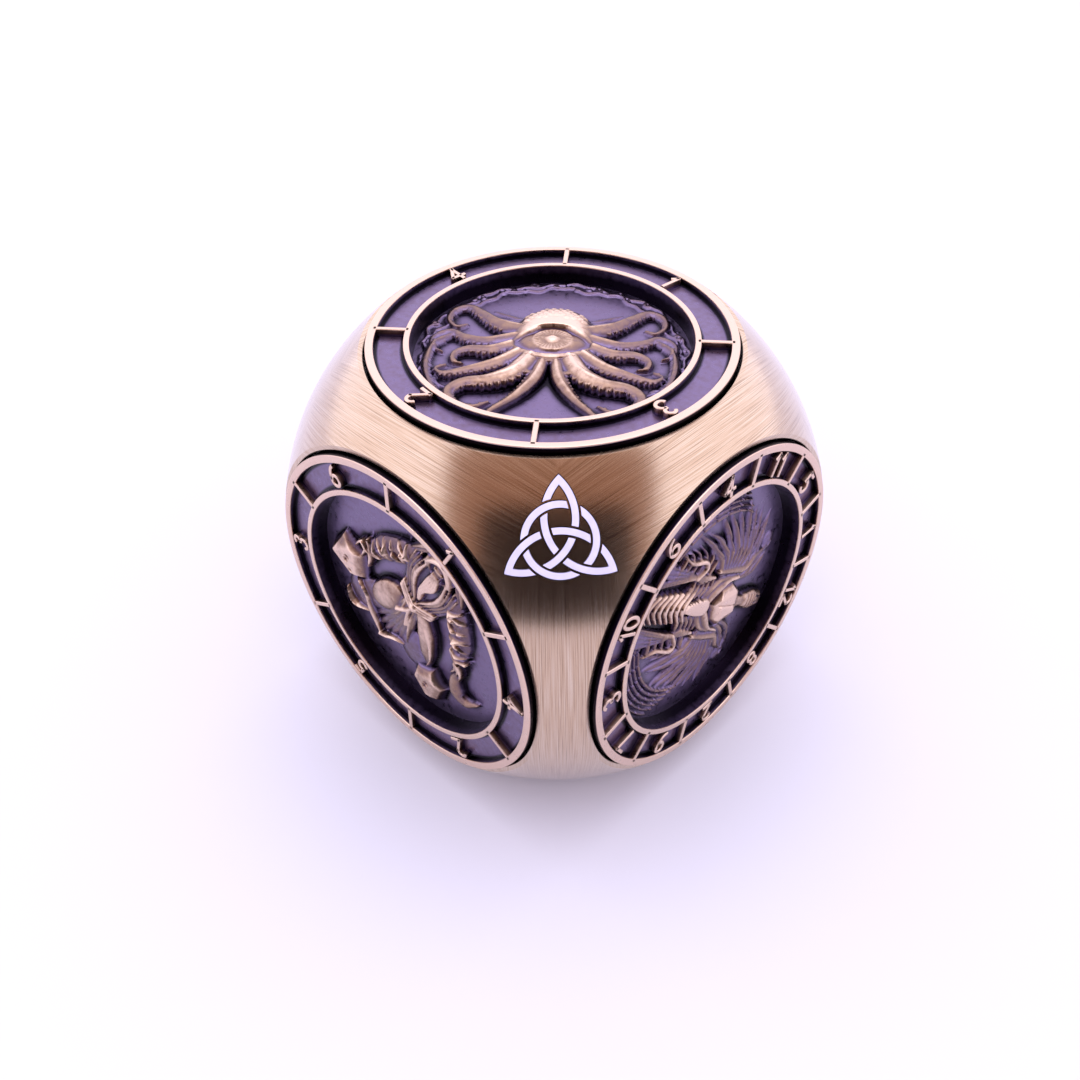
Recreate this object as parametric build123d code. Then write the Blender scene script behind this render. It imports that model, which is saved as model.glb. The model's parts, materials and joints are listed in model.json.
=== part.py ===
from build123d import *
import os
from math import atan2, cos, degrees, radians, sin, sqrt

# A ball-shaped metal die with a numbered dial turning in each of its six faces.
# Millimetres. The origin is the centre of the ball and +Z points at the four-number dial.

# Body casting
ball_radius = 19.9  # the ball that the casting is turned to
across_faces = 31.0  # over the rims of two opposite dials
dial_stand = 0.45  # how far each rim stands out of the flat round its pocket
mouth_bevel = 0.08  # broken edge of each pocket's mouth

# Dials
dial_radius = 12.5
dial_gap = 0.16  # all round, between dial and pocket
dial_thickness = 2.3
back_gap = 0.15  # between a dial's back and its pocket's floor
rim_width = 0.54
ring_outer_radius = 9.96  # the ring inside the numbers
ring_inner_radius = 9.56
number_depth = 0.50  # floor of the number ring, below the rim
medal_depth = 1.40  # floor of the round picture recess, below the rim
medal_dome_radius = 4.2  # plain core of the picture's relief
medal_dome_height = 0.85
divider_width = 0.34
edge_break = 0.06
back_bevel = 0.25
divider_bite = 0.3  # how far each divider runs into the rim and the ring

# Numerals
numeral_height = 1.48  # between the ends of the pen's line
numeral_radius = 10.96  # where a numeral's middle sits
pen_width = 0.26
digit_pitch = 0.92  # between the middles of a number's two digits

# Bearings: miniature deep-groove, 4 x 9 x 4
bearing_bore_radius = 2.0
bearing_outer_radius = 4.5
bearing_width = 4.0
inner_shoulder_radius = 2.65
outer_shoulder_radius = 3.85
pitch_radius = 3.25
ball_count = 7
bearing_ball_radius = 0.78
groove_radius = 0.82  # section of both races' grooves, and of the cage's windows
cage_inner_radius = 3.0
cage_outer_radius = 3.5
cage_width = 1.9
shield_thickness = 0.3
shield_bore_radius = 2.75
shield_seat_radius = 4.1
race_bevel = 0.12

# What each dial's stem and each bearing's seat need
boss_radius = 2.5  # shoulder that sets the dial's height on the inner race
stem_spare = 0.2  # stem showing past the bearing
stem_bevel = 0.2
seat_relief_radius = 3.6
seat_relief_depth = 0.5

# Enamel knot: three pointed loops woven through a ring
knot_arc_radius = 3.25
knot_arc_spacing = 4.63  # between the centres of the three arcs
knot_ring_radius = 2.15
knot_band = 0.46
knot_gap = 0.12  # bare metal where a band passes under another
knot_depth = 0.35
crossing_reach = 0.85  # radius round a crossing within which the lower band is parted

# How solids are joined and cut
bite = 0.1  # how far a joined solid runs into its neighbour
past = 1.0  # how far a cutter runs past what it cuts
knot_prism_reach = 4.0  # enough for a flat outline to pass right through the ball's skin

# Each dial: face normal, the direction to the right on it, the angle of its first divider
# and its numbers, counter-clockwise from that divider.
dials = {
    "d4": ((0, 0, 1), (1, 0, 0), 38, [1, 4, 2, 3]),
    "d6": ((0, -1, 0), (1, 0, 0), 28, [1, 6, 3, 5, 2, 4]),
    "d12": ((1, 0, 0), (0, 1, 0), 16, [5, 11, 4, 6, 10, 3, 7, 9, 2, 8, 12, 1]),
    "d8": ((0, 1, 0), (-1, 0, 0), 20, [1, 7, 3, 5, 8, 2, 6, 4]),
    "d10": ((-1, 0, 0), (0, -1, 0), 27, [1, 6, 10, 4, 8, 3, 7, 2, 9, 5]),
    "d20": (
        (0, 0, -1),
        (1, 0, 0),
        9,
        [1, 13, 18, 4, 10, 15, 7, 12, 20, 5, 2, 16, 9, 11, 19, 3, 14, 6, 17, 8],
    ),
}
# Each knot: the corner it marks, and the face that its first point aims at.
knots = {
    "front": ((1, -1, 1), (0, 0, 1)),
    "back": ((-1, 1, -1), (0, 0, -1)),
}

# Worked out from the sizes above
face_height = across_faces / 2
flat_height = face_height - dial_stand
pocket_radius = dial_radius + dial_gap
pocket_floor = face_height - dial_thickness - back_gap
dial_back = face_height - dial_thickness
bearing_middle = pocket_floor - bearing_width / 2
bearing_back = pocket_floor - bearing_width
rim_inner_radius = dial_radius - rim_width


def disc(radius, low, high):
    """A round bar along Z between two heights."""
    return Pos(0, 0, (low + high) / 2) * Cylinder(radius, high - low)


def tube(inner, outer, low, high):
    return disc(outer, low, high) - disc(inner, low, high)


def ring_sketch(inner, outer):
    return Circle(outer) - Circle(inner)


# ---- Numerals ----


def pen_line(*points):
    """Straight strokes through points given in numeral heights."""
    strokes = []
    for (x1, y1), (x2, y2) in zip(points, points[1:]):
        start = Vector(x1, y1) * numeral_height
        end = Vector(x2, y2) * numeral_height
        middle = (start + end) / 2
        bar = Rectangle((end - start).length + pen_width, pen_width)
        lean = degrees(atan2(y2 - y1, x2 - x1))
        strokes.append(Pos(middle.X, middle.Y) * Rot(0, 0, lean) * bar)
    return strokes


def pen_arc(x, y, radius_x, radius_y, start, end):
    """A stroke along an oval, between two angles."""
    curve = EllipticalCenterArc(
        (x * numeral_height, y * numeral_height),
        radius_x * numeral_height,
        radius_y * numeral_height,
        start_angle=start,
        arc_size=end - start,
    )
    return trace(curve, line_width=pen_width)


def pen_oval(x, y, radius_x, radius_y):
    grow = pen_width / 2
    a, b = radius_x * numeral_height, radius_y * numeral_height
    oval = Ellipse(a + grow, b + grow) - Ellipse(a - grow, b - grow)
    return Pos(x * numeral_height, y * numeral_height) * oval


def digit(name):
    """The strokes of one digit, its middle at the origin and its height along Y."""
    if name == "0":
        return [pen_oval(0, 0, 0.27, 0.5)]
    if name == "1":
        return pen_line((0.04, -0.5), (0.04, 0.5), (-0.12, 0.3))
    if name == "2":
        bowl = pen_arc(0, 0.24, 0.26, 0.26, -30, 165)
        return [bowl, *pen_line((0.236, 0.16), (-0.26, -0.5), (0.28, -0.5))]
    if name == "3":
        upper = pen_arc(-0.02, 0.27, 0.23, 0.23, -80, 150)
        return [upper, pen_arc(0, -0.23, 0.27, 0.27, -165, 100)]
    if name == "4":
        return pen_line((0.13, -0.5), (0.13, 0.5), (-0.3, -0.22), (0.31, -0.22))
    if name == "5":
        bowl = pen_arc(-0.02, -0.2, 0.28, 0.3, -150, 130)
        return [bowl, *pen_line((0.24, 0.5), (-0.16, 0.5), (-0.19, 0.03))]
    if name == "6":
        return [pen_oval(0, -0.23, 0.27, 0.27), pen_arc(0.3, -0.2, 0.53, 0.7, 92, 176)]
    if name == "7":
        return pen_line((-0.27, 0.5), (0.26, 0.5), (-0.08, -0.5))
    if name == "8":
        return [pen_oval(0, 0.26, 0.22, 0.23), pen_oval(0, -0.24, 0.26, 0.27)]
    return [Rot(0, 0, 180) * stroke for stroke in digit("6")]


def numeral(number):
    """The strokes of a whole number, centred, its top along Y."""
    text = str(number)
    left = -digit_pitch * (len(text) - 1) / 2
    return [
        Pos(left + index * digit_pitch, 0) * stroke
        for index, name in enumerate(text)
        for stroke in digit(name)
    ]


# ---- Dials, each modelled with its face towards +Z ----


def number_floor(first_divider, numbers):
    """What is sunk between rim and ring: all but the dividers and the numerals."""
    sector = 360 / len(numbers)
    floor = ring_sketch(ring_outer_radius, rim_inner_radius)
    middle = (ring_outer_radius + rim_inner_radius) / 2
    bar_length = rim_inner_radius - ring_outer_radius + 2 * divider_bite
    for index, number in enumerate(numbers):
        divider_angle = first_divider + index * sector
        bar = Pos(middle, 0) * Rectangle(bar_length, divider_width)
        floor -= Rot(0, 0, divider_angle) * bar
        upright = Rot(0, 0, divider_angle + sector / 2 - 90) * Pos(0, numeral_radius)
        for stroke in numeral(number):
            floor -= upright * stroke
    return floor


def dial(first_divider, numbers):
    plate = disc(dial_radius, dial_back, face_height)
    plate = chamfer(plate.edges().sort_by(Axis.Z)[0], back_bevel)
    plate = chamfer(plate.edges().sort_by(Axis.Z)[-1], edge_break)
    medal_floor = face_height - medal_depth
    plate -= disc(ring_inner_radius, medal_floor, face_height + past)
    sunk = Pos(0, 0, face_height - number_depth) * number_floor(first_divider, numbers)
    plate -= extrude(sunk, amount=number_depth + past, dir=(0, 0, 1))
    cap_radius = (medal_dome_radius**2 + medal_dome_height**2) / (2 * medal_dome_height)
    cap = Pos(0, 0, medal_floor + medal_dome_height - cap_radius) * Sphere(cap_radius)
    plate += cap & disc(medal_dome_radius + past, medal_floor - bite, face_height)
    plate += disc(boss_radius, pocket_floor, dial_back + bite)
    stem = disc(bearing_bore_radius, bearing_back - stem_spare, dial_back + bite)
    stem = chamfer(stem.edges().sort_by(Axis.Z)[0], stem_bevel)
    return plate + stem


# ---- Bearings ----


def groove():
    return Pos(0, 0, bearing_middle) * Torus(pitch_radius, groove_radius)


def inner_race():
    ring = tube(bearing_bore_radius, inner_shoulder_radius, bearing_back, pocket_floor)
    return ring - groove()


def outer_race():
    ring = disc(bearing_outer_radius, bearing_back, pocket_floor)
    rims = ring.edges().filter_by(GeomType.CIRCLE)
    ring = chamfer(rims, race_bevel)
    ring -= disc(outer_shoulder_radius, bearing_back - past, pocket_floor + past)
    for low in (bearing_back - past, pocket_floor - shield_thickness):
        ring -= disc(shield_seat_radius, low, low + past + shield_thickness)
    return ring - groove()


def shields():
    lows = (bearing_back, pocket_floor - shield_thickness)
    return [
        tube(shield_bore_radius, shield_seat_radius, low, low + shield_thickness)
        for low in lows
    ]


def ball_places():
    return [
        Rot(0, 0, index * 360 / ball_count) * Pos(pitch_radius, 0, bearing_middle)
        for index in range(ball_count)
    ]


def cage():
    low = bearing_middle - cage_width / 2
    ring = tube(cage_inner_radius, cage_outer_radius, low, low + cage_width)
    for place in ball_places():
        ring -= place * Rot(0, 90, 0) * Cylinder(groove_radius, 2 * past)
    return ring


# ---- Enamel knot, drawn flat with its first point along +Y ----


def turned(distance, angle):
    return distance * cos(radians(angle)), distance * sin(radians(angle))


def meeting(first, second, outwards):
    """Where two of the knot's circles cross: (x, y, radius) each, nearest to outwards."""
    x1, y1, r1 = first
    x2, y2, r2 = second
    apart = sqrt((x2 - x1) ** 2 + (y2 - y1) ** 2)
    along = (apart**2 + r1**2 - r2**2) / (2 * apart)
    off = sqrt(r1**2 - along**2)
    ux, uy = (x2 - x1) / apart, (y2 - y1) / apart
    spots = [
        (x1 + along * ux + side * off * uy, y1 + along * uy - side * off * ux)
        for side in (-1, 1)
    ]
    return max(spots, key=lambda p: p[0] * outwards[0] + p[1] * outwards[1])


def knot_sketch():
    tips = [turned(1, 90 + 120 * k) for k in range(3)]
    reach = knot_arc_spacing / sqrt(3)
    circles = [(-reach * x, -reach * y, knot_arc_radius) for x, y in tips]
    ring_circle = (0, 0, knot_ring_radius)

    def band(circle, extra=0.0):
        x, y, r = circle
        half = knot_band / 2 + extra
        return Pos(x, y) * ring_sketch(r - half, r + half)

    def whole(circle):
        x, y, r = circle
        return Pos(x, y) * Circle(r + knot_band / 2)

    arcs = []
    for k in range(3):
        neighbours = whole(circles[k - 1]) + whole(circles[k - 2])
        arcs.append(band(circles[k]) & neighbours)
    loop = band(ring_circle)

    def parted(lower, over, spot):
        patch = Pos(*spot) * Circle(crossing_reach)
        return lower - (band(over, knot_gap) & patch)

    for k in range(3):
        tip = tips[k]
        side = turned(1, 90 + 120 * k + 90)
        left, right = (k + 1) % 3, (k + 2) % 3
        # Arcs left and right both end at tip k; one goes under the ring, one over it.
        for circle_index, sign in ((left, 1), (right, -1)):
            aim = (tip[0] + 0.5 * sign * side[0], tip[1] + 0.5 * sign * side[1])
            spot = meeting(circles[circle_index], ring_circle, aim)
            if sign > 0:
                arcs[circle_index] = parted(arcs[circle_index], ring_circle, spot)
            else:
                loop = parted(loop, circles[circle_index], spot)
        # The same two arcs cross again past the middle of the knot.
        inner_spot = meeting(circles[left], circles[right], (-tip[0], -tip[1]))
        arcs[left] = parted(arcs[left], circles[right], inner_spot)
    return [arcs[0], arcs[1], arcs[2], loop]


def knot_solids(corner, first_face, depth, height):
    """The knot pushed into the ball at one corner, from height down to depth."""
    out = Vector(*corner).normalized()
    aim = Vector(*first_face)
    up = (aim - out * aim.dot(out)).normalized()
    plane = Plane(origin=(0, 0, 0), x_dir=up.cross(out), z_dir=out)
    shell = Sphere(height) - Sphere(depth)
    pieces = []
    for sketch in knot_sketch():
        for face in sketch.faces():
            foot = Pos(0, 0, depth - knot_prism_reach) * face
            rise = height - depth + 2 * knot_prism_reach
            prism = extrude(foot, amount=rise, dir=(0, 0, 1))
            pieces += (plane.location * prism & shell).solids()
    return pieces


# ---- Body ----


def pocket():
    """Everything cut out of one face, towards +Z."""
    above = flat_height + 2 * past
    cut = disc(pocket_radius, pocket_floor, above)
    mouth = Pos(0, 0, flat_height - mouth_bevel / 2) * Cone(
        pocket_radius, pocket_radius + mouth_bevel, mouth_bevel
    )
    cut += mouth
    cut += disc(bearing_outer_radius, bearing_back, pocket_floor + bite)
    relief = disc(seat_relief_radius, bearing_back - seat_relief_depth, bearing_back + bite)
    return cut + relief


def facing(normal, right):
    """Turns a piece modelled towards +Z onto one face of the die."""
    return Plane(origin=(0, 0, 0), x_dir=right, z_dir=normal).location


def body():
    side = 2 * flat_height
    casting = Sphere(ball_radius) & Box(side, side, side)
    for normal, right, _, _ in dials.values():
        casting -= facing(normal, right) * pocket()
    for corner, first_face in knots.values():
        for piece in knot_solids(corner, first_face, ball_radius - knot_depth, ball_radius + past):
            casting -= piece
    return casting


# ---- Write one file for each piece ----


def write(name, *solids):
    shape = solids[0] if len(solids) == 1 else Compound(children=list(solids))
    export_step(shape, f"parts/{name}.step")


os.makedirs("parts", exist_ok=True)
write("body_casting", body())
for key, (corner, first_face) in knots.items():
    enamel = knot_solids(corner, first_face, ball_radius - knot_depth, ball_radius)
    write(f"knot_enamel_{key}", *enamel)
for key, (normal, right, first_divider, numbers) in dials.items():
    place = facing(normal, right)
    write(f"dial_{key}", place * dial(first_divider, numbers))
    write(f"bearing_inner_race_{key}", place * inner_race())
    write(f"bearing_outer_race_{key}", place * outer_race())
    write(f"bearing_cage_{key}", place * cage())
    write(f"bearing_shields_{key}", *[place * shield for shield in shields()])
    balls = [place * spot * Sphere(bearing_ball_radius) for spot in ball_places()]
    write(f"bearing_balls_{key}", *balls)
print("wrote", len(os.listdir("parts")), "files")
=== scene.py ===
# %% [markdown]
# # A spinner die in brushed antique bronze
# This lesson dresses a small metal die. It is a ball with six flats, and in each flat a numbered
# dial turns on a hidden bearing. The frame below holds every real size and place, and nothing
# here moves or resizes it: the lesson adds fine shapes, finishes, light and a camera.

# %% Load the frame
import json
from math import acos, atan2, ceil, cos, degrees, hypot, pi, radians, sin, sqrt, tau

import bpy
import numpy as np
from mathutils import Matrix, Vector


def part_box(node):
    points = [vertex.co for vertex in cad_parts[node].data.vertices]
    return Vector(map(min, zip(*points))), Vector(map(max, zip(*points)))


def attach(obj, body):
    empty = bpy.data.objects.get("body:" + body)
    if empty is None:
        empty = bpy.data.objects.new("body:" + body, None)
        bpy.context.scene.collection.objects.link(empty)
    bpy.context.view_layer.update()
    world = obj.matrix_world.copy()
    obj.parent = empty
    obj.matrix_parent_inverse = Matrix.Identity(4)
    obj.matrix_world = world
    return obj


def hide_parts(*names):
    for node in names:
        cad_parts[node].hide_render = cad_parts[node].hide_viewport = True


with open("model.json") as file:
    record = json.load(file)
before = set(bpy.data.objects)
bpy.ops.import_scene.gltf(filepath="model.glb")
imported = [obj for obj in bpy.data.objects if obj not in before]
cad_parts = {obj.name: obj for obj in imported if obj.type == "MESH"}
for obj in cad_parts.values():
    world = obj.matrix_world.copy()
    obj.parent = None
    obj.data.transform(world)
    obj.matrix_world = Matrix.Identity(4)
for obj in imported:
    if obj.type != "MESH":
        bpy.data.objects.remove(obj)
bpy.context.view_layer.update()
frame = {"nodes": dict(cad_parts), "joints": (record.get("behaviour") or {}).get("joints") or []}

# %% [markdown]
# ## Working at a thousand times size
# The die is 31 mm across and its finest ridges are a quarter of a millimetre wide. Blender's
# merging and bevel tools are set for things the size of furniture, so every new piece is
# modelled with one unit to the millimetre and brought down to metres when it is placed.

# %% Sizes that several pieces share
METRE = 0.001  # one modelling unit, in metres

# Read from the frame
dial_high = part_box("dial_d4")[1]
body_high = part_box("body_casting")[1]
face_height = dial_high.z / METRE
flat_height = body_high.z / METRE
dial_radius = dial_high.x / METRE

# The casting
ball_radius = 19.9
mouth_bevel = 0.06  # the broken edge of a pocket's mouth
dial_gap = 0.16
pocket_floor = 13.05

# A dial's turned and cast outline
dial_back = 13.2
stem_end = 8.85
stem_radius = 2.0
stem_bevel = 0.2
collar_radius = 2.5  # the boss that keeps the dial clear of its bearing
dial_bevel = 0.25
rim_width = 0.54
ring_outer_radius = 9.96
ring_inner_radius = 9.56
number_depth = 0.50
medal_depth = 1.40
divider_width = 0.34
casting_draft = 0.05  # how far a cast wall leans out over its height

# Each dial: the direction to the right on its face, the angle of its first divider, its
# numbers counter-clockwise from there, and the way up of the picture in its middle.
dials = {
    "d4": ((1, 0, 0), 38, [1, 4, 2, 3], 128),
    "d6": ((1, 0, 0), 28, [1, 6, 3, 5, 2, 4], 58),
    "d12": ((0, 1, 0), 16, [5, 11, 4, 6, 10, 3, 7, 9, 2, 8, 12, 1], 328),
    "d8": ((-1, 0, 0), 20, [1, 7, 3, 5, 8, 2, 6, 4], 110),
    "d10": ((0, -1, 0), 27, [1, 6, 10, 4, 8, 3, 7, 2, 9, 5], 81),
    "d20": (
        (1, 0, 0),
        9,
        [1, 13, 18, 4, 10, 15, 7, 12, 20, 5, 2, 16, 9, 11, 19, 3, 14, 6, 17, 8],
        90,
    ),
}
outward = {
    joint["child"]: Vector(joint["axis"])
    for joint in frame["joints"]
    if joint["child"].startswith("dial_")
}


def facing(key):
    """The turn that carries a piece modelled towards +Z onto one face of the die."""
    normal = outward["dial_" + key]
    right = Vector(dials[key][0])
    up = normal.cross(right)
    return Matrix((right, up, normal)).transposed().to_4x4()


print("dials face", {key: tuple(outward["dial_" + key]) for key in dials})

# %% [markdown]
# ## Small helpers for modelling
# Operators act on whatever is selected, so each one starts from a clean selection. A finished
# piece keeps its object at the origin and carries its place in its mesh, like a frame node.


# %% Select, shape and place
def only(obj):
    """Leaves one object selected and active."""
    bpy.ops.object.select_all(action="DESELECT")
    obj.select_set(True)
    bpy.context.view_layer.objects.active = obj


def named(name):
    """Names the object that an operator has just added."""
    obj = bpy.context.object
    obj.name = name
    obj.data.name = name
    only(obj)
    return obj


def apply_modifier(obj, kind, **settings):
    only(obj)
    modifier = obj.modifiers.new(kind.title(), kind)
    for key, value in settings.items():
        setattr(modifier, key, value)
    bpy.ops.object.modifier_apply(modifier=modifier.name)


def bevel(obj, width, segments, angle):
    """Rounds every edge that is sharper than an angle."""
    settings = {"width": width, "segments": segments, "limit_method": "ANGLE"}
    apply_modifier(obj, "BEVEL", **settings, angle_limit=radians(angle))


def smooth(obj, angle):
    """Shades a piece smooth, except over edges sharper than an angle."""
    only(obj)
    bpy.ops.object.shade_smooth_by_angle(angle=radians(angle))


def corners(obj):
    """The mesh's points as an array of rows."""
    points = np.empty(len(obj.data.vertices) * 3)
    obj.data.vertices.foreach_get("co", points)
    return points.reshape(-1, 3)


def set_corners(obj, points):
    obj.data.vertices.foreach_set("co", np.asarray(points, float).ravel())
    obj.data.update()


def face_outwards(obj, merge=1e-5):
    """Merges doubled points and turns every face outwards."""
    only(obj)
    bpy.ops.object.mode_set(mode="EDIT")
    bpy.ops.mesh.select_all(action="SELECT")
    bpy.ops.mesh.remove_doubles(threshold=merge)
    bpy.ops.mesh.normals_make_consistent(inside=False)
    bpy.ops.object.mode_set(mode="OBJECT")


def paint(obj, values, name="rub_and_shade"):
    """Stores how bright each point is rubbed, from 0 to 1; low values also paint shade."""
    layer = obj.data.attributes.get(name) or obj.data.attributes.new(name, "FLOAT", "POINT")
    layer.data.foreach_set("value", np.asarray(values, np.float32))


def place(obj, turn, body, slot, *nodes):
    """Brings a piece down to metres, onto its face, and lets it ride on its body."""
    only(obj)
    obj.data.transform(turn @ Matrix.Scale(METRE, 4))
    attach(obj, body)
    if nodes:
        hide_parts(*nodes)
    print(obj.name, "has", len(obj.data.polygons), "faces")


# %% [markdown]
# ## Colours and nodes
# Colours are written as they look on a screen, in sRGB hex. Shaders work in linear light, so
# one function turns them. Another adds a node with its settings and links, and is all the
# node-making this lesson needs.


# %% Colour and node helpers
def colour(code):
    """An sRGB hex colour as linear red, green, blue and alpha."""
    parts = [int(code[i : i + 2], 16) / 255 for i in (1, 3, 5)]
    linear = [c / 12.92 if c <= 0.04045 else ((c + 0.055) / 1.055) ** 2.4 for c in parts]
    return (*linear, 1.0)


def add_node(tree, kind, links=None, values=None, **settings):
    """Adds a node. links maps its inputs to other nodes' outputs, values to plain values."""
    node = tree.nodes.new(kind)
    for key, value in settings.items():
        setattr(node, key, value)
    for key, value in (values or {}).items():
        node.inputs[key].default_value = value
    for key, output in (links or {}).items():
        tree.links.new(output, node.inputs[key])
    return node


def new_material(name):
    """An empty material: its node tree, its shader and its object coordinates."""
    material = bpy.data.materials.new(name)
    material.use_nodes = True
    tree = material.node_tree
    shader = tree.nodes["Principled BSDF"]
    place_node = add_node(tree, "ShaderNodeTexCoord")
    return material, tree, shader, place_node.outputs["Object"]


def finish_with(obj, material):
    obj.data.materials.clear()
    obj.data.materials.append(material)


# %% [markdown]
# ## Cast antique bronze
# The dials are zinc castings plated to look like old bronze. They come out of the bath dark,
# with a purple-grey patina, and a rubbing wheel then brightens whatever stands up. The eye
# sees dark glossy floors, warm bright edges and a brown halo between them. Each mesh carries
# a value for how far it is rubbed, and the material turns that into the two metals. The lowest
# values, at the feet of walls, on the dials' outer walls and in the pictures' hollows, are
# painted shade as well as patina.

# %% Cast bronze
CASTING_GRAIN = 0.12  # millimetres, between the small lumps of a casting's skin
WEAR_PATCH = 0.5  # millimetres, between patches of more and less wear
# The darkest colours are patina, and painted shade where the value falls to nought at wall feet and
# in hollows.
PATINA_AND_SHADE = (  # rub, and the metal's colour there
    (0.0, "#140E1A"),
    (0.24, "#766788"),
    (0.42, "#6C5861"),
    (0.66, "#947868"),
    (1.0, "#DCC0AE"),
)


def cast_bronze():
    material, tree, shader, here = new_material("cast_antique_bronze")
    rub_and_shade = add_node(tree, "ShaderNodeAttribute", attribute_name="rub_and_shade")
    wear = add_node(
        tree,
        "ShaderNodeTexNoise",
        {"Vector": here},
        {"Scale": 1 / (WEAR_PATCH * METRE), "Detail": 4.0, "Roughness": 0.6},
    )
    uneven = add_node(
        tree,
        "ShaderNodeMath",
        {0: wear.outputs["Fac"], 1: rub_and_shade.outputs["Fac"]},
        {2: -0.12},
        operation="MULTIPLY_ADD",
    )
    # Wear adds most where the metal already stands up.
    spread = add_node(
        tree,
        "ShaderNodeMath",
        {0: rub_and_shade.outputs["Fac"], 1: uneven.outputs[0]},
        operation="ADD",
    )
    metals = add_node(tree, "ShaderNodeValToRGB", {"Fac": spread.outputs[0]})
    ramp = metals.color_ramp
    for index, (where, code) in enumerate(PATINA_AND_SHADE):
        stop = ramp.elements[index] if index < 2 else ramp.elements.new(where)
        stop.position = where
        stop.color = colour(code)
    tree.links.new(metals.outputs["Color"], shader.inputs["Base Color"])
    shader.inputs["Metallic"].default_value = 1.0
    gloss = add_node(
        tree,
        "ShaderNodeMapRange",
        {"Value": wear.outputs["Fac"]},
        {"From Min": 0.3, "From Max": 0.7, "To Min": 0.24, "To Max": 0.42},
    )
    tree.links.new(gloss.outputs["Result"], shader.inputs["Roughness"])
    skin = add_node(
        tree,
        "ShaderNodeTexNoise",
        {"Vector": here},
        {"Scale": 1 / (CASTING_GRAIN * METRE), "Detail": 3.0},
    )
    bump = add_node(
        tree,
        "ShaderNodeBump",
        {"Height": skin.outputs["Fac"]},
        {"Strength": 0.25, "Distance": 0.01 * METRE},
    )
    tree.links.new(bump.outputs["Normal"], shader.inputs["Normal"])
    return material


cast_bronze_finish = cast_bronze()
print("made", cast_bronze_finish.name)

# %% [markdown]
# ## Brushed antique bronze
# The ball is finished on a belt. The belt is drawn along each of the cube's edges, so the
# scratches lie three ways and meet in a Y at every corner. They are noise stretched along one
# axis and wrapped round it, fine lines with a few broader ones among them.

# %% Brushed bronze
SCRATCH_PITCH = 0.055  # millimetres between scratches
SCRATCH_LENGTH = 6.0  # millimetres
COARSE_SHARE = 0.35  # how strongly the broader scratches show beside the fine ones


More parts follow.
